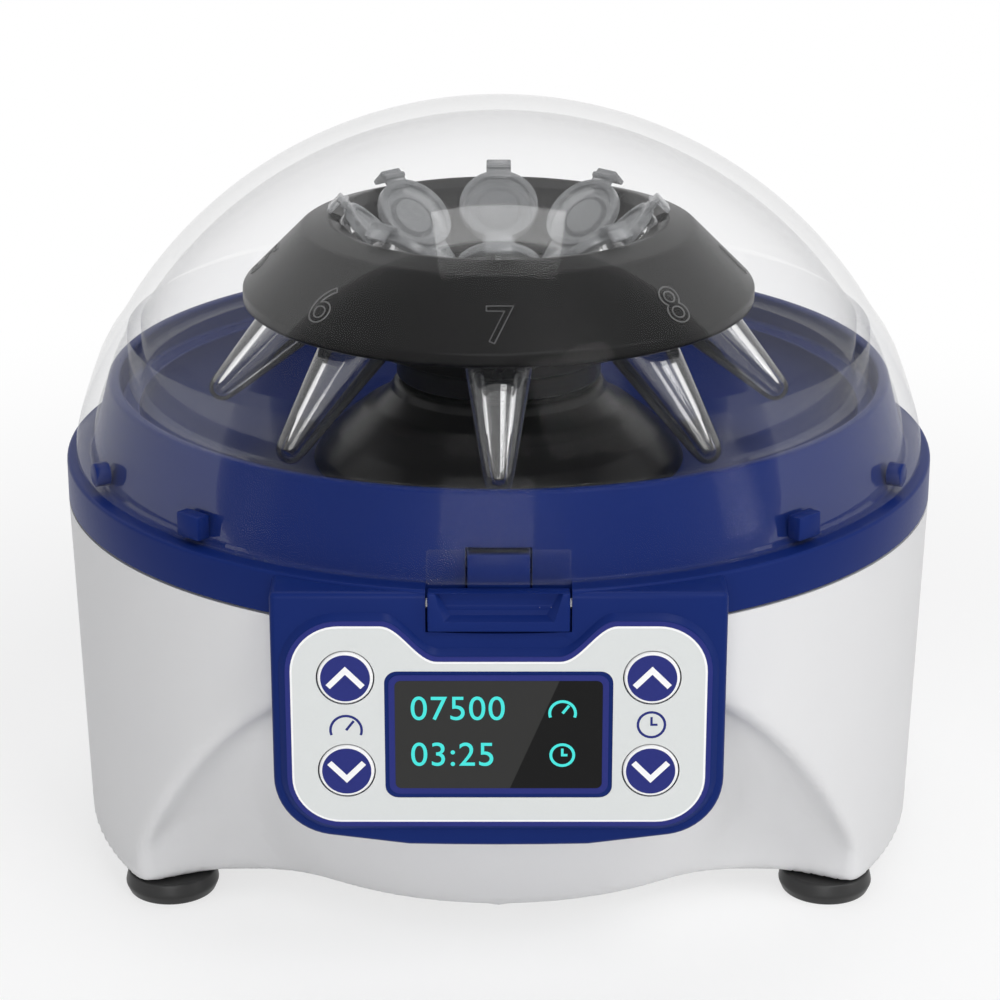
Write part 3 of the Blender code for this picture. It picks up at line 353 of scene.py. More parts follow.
finish = {
    "whiteShell": moulded("whiteShell", (0.74, 0.74, 0.74), (0.70, 0.70, 0.705),
                          0.45, 0.35, 0.006, 0.0, 0.3),
    "blueShell": moulded("blueShell", (0.0065, 0.021, 0.135), (0.0055, 0.018, 0.122),
                         0.36, 0.5, 0.003, 0.0, 0.07),
    "blackShell": moulded("blackShell", (0.005, 0.005, 0.005), (0.007, 0.007, 0.007),
                          0.34, 0.4, 0.002, 0.0, 0.12),
    "blackGloss": moulded("blackGloss", (0.003, 0.003, 0.003), (0.004, 0.004, 0.004),
                          0.30, 0.6, 0.001, 0.0, 0.16),
    # painted highlight: the engraved digits on the black rotor are coloured a lighter grey
    "engraved": moulded("engraved", (0.12, 0.12, 0.12), (0.09, 0.09, 0.09), 0.30, 0.6, 0.002, 0.0, 0.4),
    "footRubber": moulded("footRubber", (0.020, 0.020, 0.020), (0.028, 0.028, 0.028),
                          0.40, 0.5, 0.003, 0.0, 0.3),
    "panelGrey": printedInk("panelGrey", (0.66, 0.68, 0.67), (0.68, 0.70, 0.69)),
    "inkWhite": printedInk("inkWhite", (0.90, 0.90, 0.90), (0.87, 0.87, 0.87)),
    "inkNavy": printedInk("inkNavy", (0.020, 0.028, 0.185), (0.018, 0.024, 0.165)),
    "lidClear": clearPlastic("lidClear", (0.40, 0.40, 0.41), (0.17, 0.175, 0.18),
                             0.001, 0.42, 0.05, 0.04, 5.0),
    "tubeClear": clearPlastic("tubeClear", (0.30, 0.31, 0.32), (0.03, 0.03, 0.035),
                              0.03, 0.95, 1.8, 0.06),
    "capFrosted": clearPlastic("capFrosted", (0.30, 0.31, 0.32), (0.42, 0.43, 0.44),
                               0.40, 0.90, 0.8, 0.22),
    "steel": metal("steel", (0.62, 0.62, 0.64), 0.30),
    "boardGreen": moulded("boardGreen", (0.02, 0.15, 0.06), (0.03, 0.19, 0.08), 0.40, 1.5, 0.01),
    "moduleGrey": moulded("moduleGrey", (0.20, 0.20, 0.21), (0.17, 0.17, 0.18), 0.45, 0.5, 0.004),
}
print("finishes made")


# Lower housing: a signed distance, worked out in Geometry Nodes, turned into one soft-edged mesh

housing = {"footRadius": 70.5, "topRadius": 72.0, "bottomZ": 4.0, "seamZ": 61.0, "wall": 2.5,
           "archHalf": 58.5, "archRise": 52.5, "legReach": 34.6, "legCornerX": 46.7, "legSlope": 0.458,
           "legRound": 3.0, "coveDepth": 37.9, "coveEnd": 0.97, "bellySide": 48.2, "bellyLean": 0.437,
           "bellyRound": 5.0, "hatch": 35.0, "hatchHigh": 8.0, "voxel": 1.0, "archFillet": 4.0, "blend": 7.0,
           "edge": 1.6, "consoleHalf": 32.4, "consoleLow": 29.4, "consoleCorner": 8.5, "windowBack": 40.0,
           "rearHalf": 15.4, "rearLow": 45.6, "rearHigh": 57.9}


class Field(Sock):
    # the same operators over Geometry Nodes, with the calls that a distance needs
    def low(self, other, soft=0.0):
        kind = {"operation": "SMOOTH_MIN" if soft else "MINIMUM"}
        values = {0: self, 1: other, 2: soft} if soft else {0: self, 1: other}
        return self.paint.node("ShaderNodeMath", kind, values)

    def high(self, other, soft=0.0):
        kind = {"operation": "SMOOTH_MAX" if soft else "MAXIMUM"}
        values = {0: self, 1: other, 2: soft} if soft else {0: self, 1: other}
        return self.paint.node("ShaderNodeMath", kind, values)

    def root(self):
        return self.paint.node("ShaderNodeMath", {"operation": "SQRT"}, {0: self})

    def size(self):
        return self.paint.node("ShaderNodeMath", {"operation": "ABSOLUTE"}, {0: self})

    def over(self, other):
        return self.paint.node("ShaderNodeMath", {"operation": "DIVIDE"}, {0: self, 1: other})


class GeoTree(Tree):
    def __init__(self, name, inputs):
        super().__init__(bpy.data.node_groups.new(name, "GeometryNodeTree"))
        self.tree.interface.new_socket("Geometry", in_out="INPUT", socket_type="NodeSocketGeometry")
        for label, kind, value in inputs:
            socket = self.tree.interface.new_socket(label, in_out="INPUT", socket_type=kind)
            socket.default_value = value
        self.tree.interface.new_socket("Geometry", in_out="OUTPUT", socket_type="NodeSocketGeometry")
        self.inlet = self.tree.nodes.new("NodeGroupInput")
        self.outlet = self.tree.nodes.new("NodeGroupOutput")

    def given(self, label):
        return Field(self, self.inlet.outputs[label])

    def node(self, kind, settings=None, values=None, output=0):
        return Field(self, super().node(kind, settings, values, output).socket)

    def close(self, geometry, material):
        solid = self.node("GeometryNodeRealizeInstances", {}, {"Geometry": geometry})
        solid = self.node("GeometryNodeSetMaterial", {}, {"Geometry": solid, "Material": material})
        self.tree.links.new(solid.socket, self.outlet.inputs[0])

    def grow(self, name):
        obj = newObject(name, bpy.data.meshes.new(name))
        modifier = obj.modifiers.new(name, "NODES")
        modifier.node_group = self.tree
        return bake(obj)


def housingTree():
    sizes = [(key, "NodeSocketFloat", float(value)) for key, value in housing.items()]
    geo = GeoTree("housingShape", sizes)
    size = {key: geo.given(key) for key in housing}
    where = geo.node("GeometryNodeInputPosition")
    x, y, z = [geo.node("ShaderNodeSeparateXYZ", {}, {"Vector": where}, axis) for axis in range(3)]
    ax, ay = x.size(), y.size()
    radius = (x * x + y * y).root()
    rise = z - size["bottomZ"]
    taper = (size["topRadius"] - size["footRadius"]).over(size["seamZ"] - size["bottomZ"])
    body = radius - (size["footRadius"] + rise * taper)
    inward = ((size["topRadius"] - ay).over(size["coveDepth"])).high(0.0).low(size["coveEnd"])
    roof = (1.0 - inward * inward).root()
    across = ax.over(size["archHalf"])
    up = rise.high(0.0).over(roof * size["archRise"])
    reachOut = (across * across + up * up).root()
    pullX = across.over(size["archHalf"])
    pullZ = up.over(roof * size["archRise"])
    pullY = (up * up * inward).over(roof * roof * size["coveDepth"])
    pull = (pullX * pullX + pullZ * pullZ + pullY * pullY).root().high(0.006)
    arch = ((reachOut - 1.0) * reachOut).over(pull)
    slanted = (size["legReach"] + (ax - size["legCornerX"]) * size["legSlope"] - ay) * 0.909
    leg = (size["legReach"] - ay).high(slanted, size["legRound"])
    side = (radius - size["bellySide"] - rise * size["bellyLean"]) * 0.916
    belly = side.high(rise * -1.0, size["bellyRound"])
    filled = (arch * -1.0).low(leg * -1.0, size["legRound"])
    kept = filled.low(belly, size["blend"])
    solid = body.high(kept, size["archFillet"]).high(size["bottomZ"] - z, size["edge"])
    shell = solid.high((solid + size["wall"]) * -1.0)
    hatch = (size["hatch"] - radius).low(size["bottomZ"] + size["hatchHigh"] - z)
    shell = shell.high(hatch, 0.6)
    beside = (ax - (size["consoleHalf"] - size["consoleCorner"])).high(0.0)
    below = (size["consoleLow"] + size["consoleCorner"] - z).high(0.0)
    window = ((beside * beside + below * below).root() - size["consoleCorner"]).high(y + size["windowBack"])
    rearZ = (size["rearLow"] - z).high(z - size["rearHigh"])
    rear = (ax - size["rearHalf"]).high(rearZ).high(size["windowBack"] - y)
    shell = shell.high(window * -1.0).high(rear * -1.0)
    reach = housing["topRadius"] + 2.0
    cells = int(2 * reach / housing["voxel"])
    tall = int((housing["seamZ"] + 2.0) / housing["voxel"])
    volume = geo.node("GeometryNodeVolumeCube", {}, {
        "Density": shell * -1.0, "Background": -3.0, "Min": (-reach, -reach, 2.0),
        "Max": (reach, reach, housing["seamZ"] + 4.0), "Resolution X": cells, "Resolution Y": cells,
        "Resolution Z": tall})
    mesh = geo.node("GeometryNodeVolumeToMesh", {}, {"Volume": volume, "Threshold": 0.0, "Adaptivity": 0.0})
    geo.close(mesh, finish["whiteShell"])
    return geo


def buildHousing():
    shell = housingTree().grow("lowerHousing")
    work = bmesh.new()
    work.from_mesh(shell.data)
    cut = bmesh.ops.bisect_plane(work, geom=work.verts[:] + work.edges[:] + work.faces[:], dist=0.0001,
                                 plane_co=(0, 0, housing["seamZ"]), plane_no=(0, 0, 1), clear_outer=True)
    edges = [item for item in cut["geom_cut"] if isinstance(item, bmesh.types.BMEdge)]
    bmesh.ops.triangle_fill(work, edges=edges, use_beauty=True)
    bmesh.ops.recalc_face_normals(work, faces=work.faces)
    work.to_mesh(shell.data)
    work.free()
    dress(shell, finish["whiteShell"], "base", ["lower_housing"], 50.0)


buildHousing()
print("lower housing made")


# Upper deck: rim, wall, ledge and flange turned in one, with the console joined on

deck = {"bodyRadius": 72.0, "bottomZ": 61.3, "ledgeZ": 68.0, "wallFoot": 68.0, "wallTop": 64.6, "rimZ": 80.8,
        "rimInner": 62.8, "stepZ": 75.6, "stepRadius": 59.7, "floorZ": 64.5,
        "floorRadius": 43.0, "opening": 26.0, "wall": 2.4, "skirt": 2.5}
console = {"half": 33.5, "faceY": -71.4, "backY": -60.0, "lowZ": 26.8, "sag": 1.6, "corner": 9.5,
           "topZ": 67.6, "wall": 2.4, "collarBack": -49.0, "collarWall": 1.0, "gap": 0.3}
aheadY = -76.0      # in front of everything, where cutters start
overlay = {"half": 30.6, "lowZ": 31.4, "topZ": 62.8, "dipZ": 57.2, "corner": 7.2, "lobeX": 17.4, "dipX": 9.0,
           "backY": -71.7, "faceY": -72.4}
screen = {"half": 16.2, "lowZ": 36.0, "topZ": 55.1, "corner": 1.6, "border": 0.9}
latch = {"half": 10.4, "lowZ": 61.8, "topZ": 67.8, "faceY": -72.2, "thick": 2.6, "pivotY": -69.3,
         "pivotZ": 65.2, "boss": 1.7, "gap": 0.3, "armHalf": 4.6, "armTop": 72.6}
hinge = {"y": 74.5, "z": 70.5, "knuckle": 3.6, "outerX": 13.6, "innerX": 4.8, "ear": 3.5, "gap": 0.3,
         "hole": 1.45, "holeHalf": 22.0}
buttons = {"button_speed_up": (-22.5, 54.7), "button_speed_down": (-22.5, 39.8),
           "button_time_up": (22.5, 54.7), "button_time_down": (22.5, 39.8)}
buttonSize = {"radius": 4.1, "top": 3.9, "disc": 3.65, "faceY": -72.7, "hole": 4.4, "deep": 2.0,
              "markHalf": 2.55, "markRise": 1.3, "markWidth": 0.88}


def deckProfile():
    d = deck
    lip = [(d["rimInner"], d["rimZ"], 0.7), (d["wallTop"], d["rimZ"], 0.8), (d["wallFoot"], d["ledgeZ"], 0.6),
           (d["bodyRadius"], d["ledgeZ"], 0.6), (d["bodyRadius"], d["bottomZ"], 0.25),
           (d["bodyRadius"] - d["skirt"], d["bottomZ"]),
           (d["bodyRadius"] - d["skirt"], d["ledgeZ"] - d["wall"]),
           (d["wallFoot"] - d["wall"], d["ledgeZ"] - d["wall"]), (63.6, 73.2), (61.8, 72.0)]
    under = arcPoints(d["floorRadius"], d["stepZ"], d["stepRadius"] - d["floorRadius"] + 1.2, 340, 272, 12,
                      d["stepZ"] - d["floorZ"] + d["wall"])
    floor = [(d["opening"], d["floorZ"] - d["wall"]), (d["opening"], d["floorZ"], 0.4)]
    bowl = arcPoints(d["floorRadius"], d["stepZ"], d["stepRadius"] - d["floorRadius"], 270, 356, 16,
                     d["stepZ"] - d["floorZ"])
    step = [(d["stepRadius"], d["stepZ"], 0.4), (d["rimInner"], d["stepZ"], 0.8)]
    return roundCorners(lip + under + floor + bowl + step)


def consoleOutline(inset, topZ):
    half = console["half"] - inset
    corner = console["corner"] - inset
    cornerZ = console["lowZ"] + console["sag"] + inset + corner
    left = [(-half, topZ)] + arcPoints(-half + corner, cornerZ, corner, 180, 262, 12)
    floor = [(x * half, console["lowZ"] + inset + console["sag"] * 0.62 * x * x)
             for x in (-0.4, -0.2, 0, 0.2, 0.4)]
    return left + floor + [(-x, z) for x, z in reversed(left)]


def collarOutline(inset):
    # the console's own walls run on into the window of the lower housing
    half = housing["consoleHalf"] - inset
    corner = housing["consoleCorner"] - inset
    low = housing["consoleLow"] + inset + corner
    left = [(-half, deck["bottomZ"] - 0.4)] + arcPoints(-half + corner, low, corner, 180, 270, 12)
    return left + [(-x, z) for x, z in reversed(left)]


def overlayOutline(grow, dipSoft=0.0):
    # the membrane: two lobes over the buttons and a dip under the latch
    o = overlay
    half, corner = o["half"] + grow, o["corner"] + grow
    right = arcPoints(half - corner, o["lowZ"] - grow + corner, corner, 270, 360, 12)
    right += arcPoints(half - corner, o["topZ"] + grow - corner, corner, 0, 90, 12)
    run = o["lobeX"] - o["dipX"]
    drop = o["topZ"] - o["dipZ"]
    for i in range(17):
        share = i / 16
        ease = (1 - math.cos(math.pi * share)) / 2
        right.append((o["lobeX"] + dipSoft - grow * 0.35 - run * share, o["topZ"] + grow - drop * ease))
    return right + [(-x, z) for x, z in reversed(right)]


def roundRect(half, low, high, corner, count=8):
    return (arcPoints(half - corner, high - corner, corner, 0, 90, count)
            + arcPoints(-half + corner, high - corner, corner, 90, 180, count)
            + arcPoints(-half + corner, low + corner, corner, 180, 270, count)
            + arcPoints(half - corner, low + corner, corner, 270, 360, count))


def plateau(name, low, high, backY, faceY):
    # a raised pad whose face outline is smaller than its foot outline
    count = len(low)
    verts = [(x, backY, z) for x, z in low] + [(x, faceY, z) for x, z in high]
    faces = [list(range(count)), list(range(2 * count - 1, count - 1, -1))]
    faces += [[i, (i + 1) % count, count + (i + 1) % count, count + i] for i in range(count)]
    return meshFrom(name, verts, faces)


def buildDeck():
    shell = lathe("upperDeck", deckProfile())
    pad = prism("consoleBlock", consoleOutline(0.0, console["topZ"]), console["faceY"], console["backY"])
    pad = bevel(pad, 0.9, 4, 50.0)
    shell = combine(shell, pad)
    room = prism("consoleRoom", consoleOutline(console["wall"], deck["bottomZ"]),
                 console["faceY"] + console["wall"], console["backY"] + 4.0)
    shell = carve(shell, room)
    back = console["collarBack"]
    collar = prism("consoleCollar", collarOutline(console["gap"]), console["backY"] - 1.0, back)
    hollow = prism("collarRoom", collarOutline(console["gap"] + console["collarWall"]), console["backY"] - 2.0,
                   back + 2.0)
    hollow.data.transform(Matrix.Translation((0.0, 0.0, 0.5)))
    shell = combine(shell, carve(collar, hollow))
    bayHalf, bayLow = latch["half"] + latch["gap"], latch["lowZ"] - latch["gap"]
    bayBack = latch["pivotY"] + latch["boss"] + latch["gap"]
    shell = carve(shell, block("latchBay", (-bayHalf, aheadY, bayLow), (bayHalf, bayBack, 72.0)))
    slotHalf, slotTop = latch["armHalf"] + latch["gap"], latch["armTop"] + latch["gap"]
    shell = carve(shell, block("latchSlot", (-slotHalf, -73.0, bayLow), (slotHalf, -63.3, slotTop)))
    window = prism("screenHole", roundRect(15.2, 37.0, 54.1, 1.6), aheadY, -66.0)
    shell = carve(shell, window)
    for name, (x, z) in buttons.items():
        shell = carve(shell, rod(name + "Hole", buttonSize["hole"], (x, aheadY, z), (x, -68.0, z), 40))
    low, mid = hinge["y"] - hinge["knuckle"], hinge["outerX"] + hinge["gap"]
    outline = [(66.5, 62.0), (73.6, 62.0), (hinge["y"] + 3.6, hinge["z"] - 3.4)]
    outline += arcPoints(hinge["y"], hinge["z"], hinge["knuckle"], 0, 180, 16) + [(low, 67.5), (66.5, 67.5)]
    for side in (-1, 1):
        ear = prism("hingeEar", outline, side * mid, side * (mid + hinge["ear"]))
        ear.data.transform(Matrix(((0, -1, 0, 0), (1, 0, 0, 0), (0, 0, 1, 0), (0, 0, 0, 1))))
        ear.data.transform(Matrix.Scale(-1, 4, (1, 0, 0)))
        ear.data.flip_normals()
        shell = combine(shell, bevel(ear, 0.35, 2, 40.0))
    side = hinge["holeHalf"]
    shell = carve(shell, rod("pinHole", hinge["hole"], (-side, hinge["y"], hinge["z"]),
                             (side, hinge["y"], hinge["z"])))
    dress(shell, finish["blueShell"], "base", ["upper_deck"], 32.0)


buildDeck()
print("upper deck made")


# Control panel

def buildPanel():
    rim = plateau("panelPlateau", overlayOutline(2.0, 0.4), overlayOutline(0.75), console["faceY"] + 0.2,
                  overlay["faceY"] + 0.12)
    hole = prism("padHole", roundRect(15.6, 36.6, 54.5, 1.4), aheadY, -66.0)
    rim = carve(rim, hole)
    for name, (x, z) in buttons.items():
        rim = carve(rim, rod(name + "Bore", buttonSize["hole"], (x, aheadY, z), (x, -66.0, z), 40))
    dress(bevel(rim, 0.25, 3, 20.0), finish["blueShell"], "base")
    layers = [("overlayBorder", 0.75, 0.06, "inkNavy"), ("overlayEdge", 0.0, 0.03, "inkWhite"),
              ("overlayFace", -0.32, 0.0, "panelGrey")]
    for name, grow, sunk, ink in layers:
        sheet = prism(name, overlayOutline(grow), overlay["backY"], overlay["faceY"] + sunk)
        inset = screen["border"] * 0.35
        hole = roundRect(16.5 + inset, 35.7 - inset, 55.4 + inset, 1.9)
        sheet = carve(sheet, prism("hole", hole, aheadY, -66.0))
        for x, z in buttons.values():
            sheet = carve(sheet, rod("bore", buttonSize["hole"] - 0.1, (x, aheadY, z), (x, -66.0, z), 48))
        dress(sheet, finish[ink], "base", ["panel_overlay"] if name == "overlayFace" else ())


def screenGlass():
    paint = Paint("screenGlass")
    coords = paint.node("ShaderNodeTexCoord", {}, {}, "Object")
    x = paint.node("ShaderNodeSeparateXYZ", {}, {"Vector": coords}, 0)
    z = paint.node("ShaderNodeSeparateXYZ", {}, {"Vector": coords}, 2)
    # painted reflection: the screen glass is coloured lighter left of a slanted line and darker right of it
    lean = (x * 1000.0 - (z * 1000.0 - 45.5) * 0.42 - 5.2)
    paintedReflectionMask = (lean * 8.0).clamp()
    shine = paint.mix(paintedReflectionMask, (0.034, 0.034, 0.033), (0.010, 0.010, 0.010))
    glow = paint.noise(0.3, 1.0)
    paint.set(Base_Color=shine, Roughness=glow * 0.02 + 0.12, Specular_IOR_Level=0.08)
    return paint.material


def glowing(name, colour, strength):
    paint = Paint(name)
    grain = paint.noise(0.2, 1.0)
    paint.set(Base_Color=(0.0, 0.02, 0.02), Emission_Strength=strength, Roughness=0.4,
              Emission_Color=paint.mix(grain, colour, tuple(c * 0.85 for c in colour)))
    return paint.material


finish["screenGlass"] = screenGlass()
finish["screenTeal"] = glowing("screenTeal", (0.045, 0.86, 0.80), 0.95)
readout = {"speed": "07500", "time": "03:25", "size": 5.4, "leftX": -13.1, "speedZ": 48.0, "timeZ": 40.6,
           "iconX": 9.4}


def textMesh(name, body, size, x, z, y):
    curve = bpy.data.curves.new(name, "FONT")
    curve.body = body
    curve.size = size
    curve.extrude = 0.02
    curve.space_character = 1.06
    obj = bake(newObject(name, curve))
    obj.data.transform(Matrix.Translation((x, y, z)) @ Matrix.Rotation(math.pi / 2, 4, "X"))
    return obj


def stroke(name, points, width, y, thick=0.05, closed=False):
    # a flat line of even width through (x, z) points
    path = [Vector(p) for p in points]
    count = len(path)
    left, right = [], []
    for i, point in enumerate(path):
        before = path[i - 1] if i or closed else point * 2 - path[1]
        after = path[(i + 1) % count] if i < count - 1 or closed else point * 2 - path[i - 1]
        inward = (point - before).normalized()
        outward = (after - point).normalized()
        across = Vector((-(inward + outward).y, (inward + outward).x)).normalized()
        reach = width / 2 / max(across.dot(Vector((-inward.y, inward.x))), 0.3)
        left.append(point + across * reach)
        right.append(point - across * reach)
    verts, faces = [], []
    for yy in (y, y + thick):
        verts += [(p.x, yy, p.y) for p in left] + [(p.x, yy, p.y) for p in right]
    turns = count if closed else count - 1
    for i in range(turns):
        n = (i + 1) % count
        faces += [[i, n, count + n, count + i], [2 * count + i, 3 * count + i, 3 * count + n, 2 * count + n],
                  [i, 2 * count + i, 2 * count + n, n], [count + i, count + n, 3 * count + n, 3 * count + i]]
    if not closed:
        faces += [[0, count, 3 * count, 2 * count], [count - 1, 3 * count - 1, 4 * count - 1, 2 * count - 1]]
    return meshFrom(name, verts, faces)


def clockIcon(x, z, radius, y, width):
    ring = stroke("clock", arcPoints(x, z, radius, 0, 345, 24), width, y, closed=True)
    hands = stroke("hands", [(x, z + radius * 0.62), (x, z), (x + radius * 0.45, z)], width * 0.9, y)
    return [ring, hands]


def dialIcon(x, z, radius, y, width):
    ring = stroke("dial", arcPoints(x, z - radius * 0.3, radius, -20, 200, 20), width, y)
    needle = stroke("needle", [(x, z - radius * 0.3), (x + radius * 0.5, z + radius * 0.35)], width, y)
    return [ring, needle]


def buildScreen():
    border = prism("screenBorder", roundRect(screen["half"], screen["lowZ"], screen["topZ"], screen["corner"]),
                   overlay["backY"], overlay["faceY"] + 0.02)
    dress(border, finish["inkNavy"], "base", ["display_window"])
    b = screen["border"]
    glass = prism("screenGlass", roundRect(screen["half"] - b, screen["lowZ"] + b, screen["topZ"] - b, 0.9),
                  overlay["backY"] - 0.2, overlay["faceY"] - 0.01)
    dress(glass, finish["screenGlass"], "base")
    y = overlay["faceY"] - 0.03
    r = readout
    marks = [textMesh("speedDigits", r["speed"], r["size"], r["leftX"], r["speedZ"], y),
             textMesh("timeDigits", r["time"], r["size"], r["leftX"], r["timeZ"], y)]
    marks += dialIcon(r["iconX"], r["speedZ"] + 1.6, 1.9, y, 0.42)
    marks += clockIcon(r["iconX"], r["timeZ"] + 1.7, 1.7, y, 0.42)
    dress(gather("screenReadout", marks), finish["screenTeal"], "base")
    y = overlay["faceY"] - 0.02
    ink = dialIcon(-22.5, 47.0, 2.3, y, 0.38) + clockIcon(22.5, 47.2, 2.0, y, 0.38)
    dress(gather("panelIcons", ink), finish["inkNavy"], "base")


def buildButtons():
    for name, (x, z) in buttons.items():
        b = buttonSize
        face = b["faceY"]
        ring = [(0.0, -b["deep"]), (b["radius"], -b["deep"]), (b["radius"], -0.28), (b["top"], 0.0), (0.0, 0.0)]
        cap = lathe(name + "Key", roundCorners([(r, h, 0.15) for r, h in ring], False), 64, closed=False)
        cap.data.transform(Matrix.Translation((x, face + 0.10, z)) @ Matrix.Rotation(math.pi / 2, 4, "X"))
        dress(cap, finish["inkWhite"], name, [name])
        disc = [(0.0, 0.0), (b["disc"], 0.0), (b["disc"], 0.05), (0.0, 0.05)]
        disc = lathe(name + "Disc", disc, 64, closed=False)
        disc.data.transform(Matrix.Translation((x, face + 0.10, z)) @ Matrix.Rotation(math.pi / 2, 4, "X"))
        dress(disc, finish["inkNavy"], name)
        up = 1.0 if name.endswith("up") else -1.0
        low, high = z - up * (b["markRise"] + 0.05), z + up * (b["markRise"] - 0.05)
        chevron = [(x - b["markHalf"], low), (x, high), (x + b["markHalf"], low)]
        mark = stroke(name + "Mark", chevron, b["markWidth"], face, 0.08)
        dress(mark, finish["inkWhite"], name)


buildPanel()
buildScreen()
buildButtons()
print("control panel made")


# Latch button, with its finger recess

def buildLatch():
    half, low, top, face = latch["half"], latch["lowZ"], latch["topZ"], latch["faceY"]
    body = block("latchButton", (-half, face, low), (half, face + latch["thick"], top))
    body = bevel(body, 0.3, 3)
    floor = [(-half + 1.6, top - 0.4), (half - 1.6, top - 0.4),
             (half - 3.4, low + 2.2), (-half + 3.4, low + 2.2)]
    mouth = [(-half + 0.9, top + 0.1), (half - 0.9, top + 0.1),
             (half - 2.2, low + 1.5), (-half + 2.2, low + 1.5)]
    body = carve(body, plateau("recess", floor, mouth, face + 1.3, face - 0.2))
    bar = rod("boss", latch["boss"] - 0.05, (-half, latch["pivotY"], latch["pivotZ"]),
              (half, latch["pivotY"], latch["pivotZ"]), 24)
    side = latch["armHalf"]
    arm = block("arm", (-side, -69.0, 63.5), (side, -65.4, latch["armTop"]))
    nose = block("nose", (-side, -68.4, 71.4), (side, -66.3, latch["armTop"]))
    piece = gather("latchButton", [bevel(body, 0.12, 2, 25.0), bar, bevel(arm, 0.2, 2), bevel(nose, 0.15, 2)])
    dress(piece, finish["blueShell"], "latch", ["latch_button"])


buildLatch()


# Lid: dome, shoulder, skirt, inner lip, front tab and hinge knuckles

lid = {"radius": 73.1, "centreZ": 51.6, "wall": 2.6, "shoulder": 61.0, "edgeRadius": 70.5, "edgeZ": 68.4,
       "lip": 61.3, "lipWall": 2.3, "lipZ": 79.8, "tabHalf": 10.5, "tabLow": 69.0, "tabTop": 73.6,
       "tabY": -71.9}
skirtPoints = [(62.5, 89.5), (64.4, 86.9), (66.0, 84.0), (67.3, 80.7), (68.6, 77.0), (69.6, 73.9),
               (70.3, 70.9)]


def lidProfile():
    inner = lid["radius"] - lid["wall"]
    shoulderAngle = math.degrees(math.acos(lid["shoulder"] / lid["radius"]))
    lipInner = lid["lip"] - lid["lipWall"]
    lipAngle = math.degrees(math.acos(lipInner / inner))
    outside = arcPoints(0.0, lid["centreZ"], lid["radius"], 90, shoulderAngle + 1.0, 30)
    outside[0] = (0.0, lid["centreZ"] + lid["radius"])
    skirt = skirtPoints + [(lid["edgeRadius"], lid["edgeZ"] + 0.4), (lid["edgeRadius"] - 0.5, lid["edgeZ"])]
    edgeInner = lid["edgeRadius"] - lid["wall"]
    inside = [(edgeInner + 0.5, lid["edgeZ"]), (edgeInner, lid["edgeZ"] + 0.4)]
    inside += [(r - lid["wall"], z) for r, z in reversed(skirtPoints[1:])]
    inside += [(lid["lip"], 88.6), (lid["lip"], lid["lipZ"] + 0.4), (lid["lip"] - 0.4, lid["lipZ"]),
               (lipInner + 0.4, lid["lipZ"]), (lipInner, lid["lipZ"] + 0.4)]
    crown = arcPoints(0.0, lid["centreZ"], inner, lipAngle, 90, 30)
    crown[-1] = (0.0, lid["centreZ"] + inner)
    return outside + skirt + inside + crown


def buildLid():
    pieces = [lathe("lid", lidProfile(), 160, closed=False)]
    tab = block("tab", (-lid["tabHalf"], lid["tabY"], lid["tabLow"]), (lid["tabHalf"], -69.0, lid["tabTop"]))
    pieces.append(bevel(tab, 0.4, 3))
    for side in (-1, 1):
        near, far = sorted((side * hinge["innerX"], side * hinge["outerX"]))
        web = block("web", (near, 69.4, lid["edgeZ"] + 0.4), (far, hinge["y"], hinge["z"] + 1.8))
        knuckle = rod("knuckle", hinge["knuckle"], (near, hinge["y"], hinge["z"]),
                      (far, hinge["y"], hinge["z"]), 40)
        pieces += [bevel(web, 0.3, 2), bevel(knuckle, 0.3, 2)]
    dress(gather("lid", pieces), finish["lidClear"], "lid", ["lid"], 28.0)


lugs = {"blockAngle": 42.0, "pegAngle": 66.0, "blockHalf": 2.4, "pegRadius": 1.9, "low": 69.0, "top": 72.8,
        "outer": 70.4, "inner": 67.9}


def buildLugs():
    # two small blue inserts on each side of the lid's clear skirt
    pieces = []
    for side in (-1, 1):
        lug = block("lug", (-lugs["blockHalf"], -lugs["outer"], lugs["low"]),
                    (lugs["blockHalf"], -lugs["inner"], lugs["top"]))
        lug = bevel(lug, 0.3, 2)
        lug.data.transform(Matrix.Rotation(math.radians(side * lugs["blockAngle"]), 4, "Z"))
        height = lugs["low"] + lugs["pegRadius"]
        peg = rod("peg", lugs["pegRadius"], (0.0, -lugs["outer"], height), (0.0, -lugs["inner"], height), 24)
        peg = bevel(peg, 0.25, 2)
        peg.data.transform(Matrix.Rotation(math.radians(side * lugs["pegAngle"]), 4, "Z"))
        pieces += [lug, peg]
    dress(gather("skirtLugs", pieces), finish["blueShell"], "lid")


buildLid()
buildLugs()
print("lid and latch made")


# Rotor with eight places

rotor = {"radius": 42.2, "rimZ": 92.6, "rimHigh": 95.0, "rimWidth": 3.2, "skinZ": 83.0, "crest": 31.8,
         "crestZ": 104.6, "crestTop": 106.1, "coneOut": 0.6, "coneUp": 0.2, "hubZ": 90.7, "collar": 17.0,
         "collarZ": 79.3, "bore": 2.6, "places": 8, "front": 7, "tilt": 45.0, "capRadius": 19.5, "capZ": 103.3}
seat = {"bore": 5.7, "rest": 6.5, "depth": 3.6, "notchHalf": 2.4, "notchReach": 9.3}
digits = {"size": 9.4, "low": 1.9, "line": 0.13, "lift": 0.06}


def placeFrame(index):
    spin = Matrix.Rotation(math.tau * index / rotor["places"], 4, "Z")
    lean = Matrix.Rotation(-math.radians(rotor["tilt"]), 4, "X")
    return spin @ Matrix.Translation((0.0, -rotor["capRadius"], rotor["capZ"])) @ lean


def placeNumber(index):
    return (index + rotor["front"] - 1) % rotor["places"] + 1


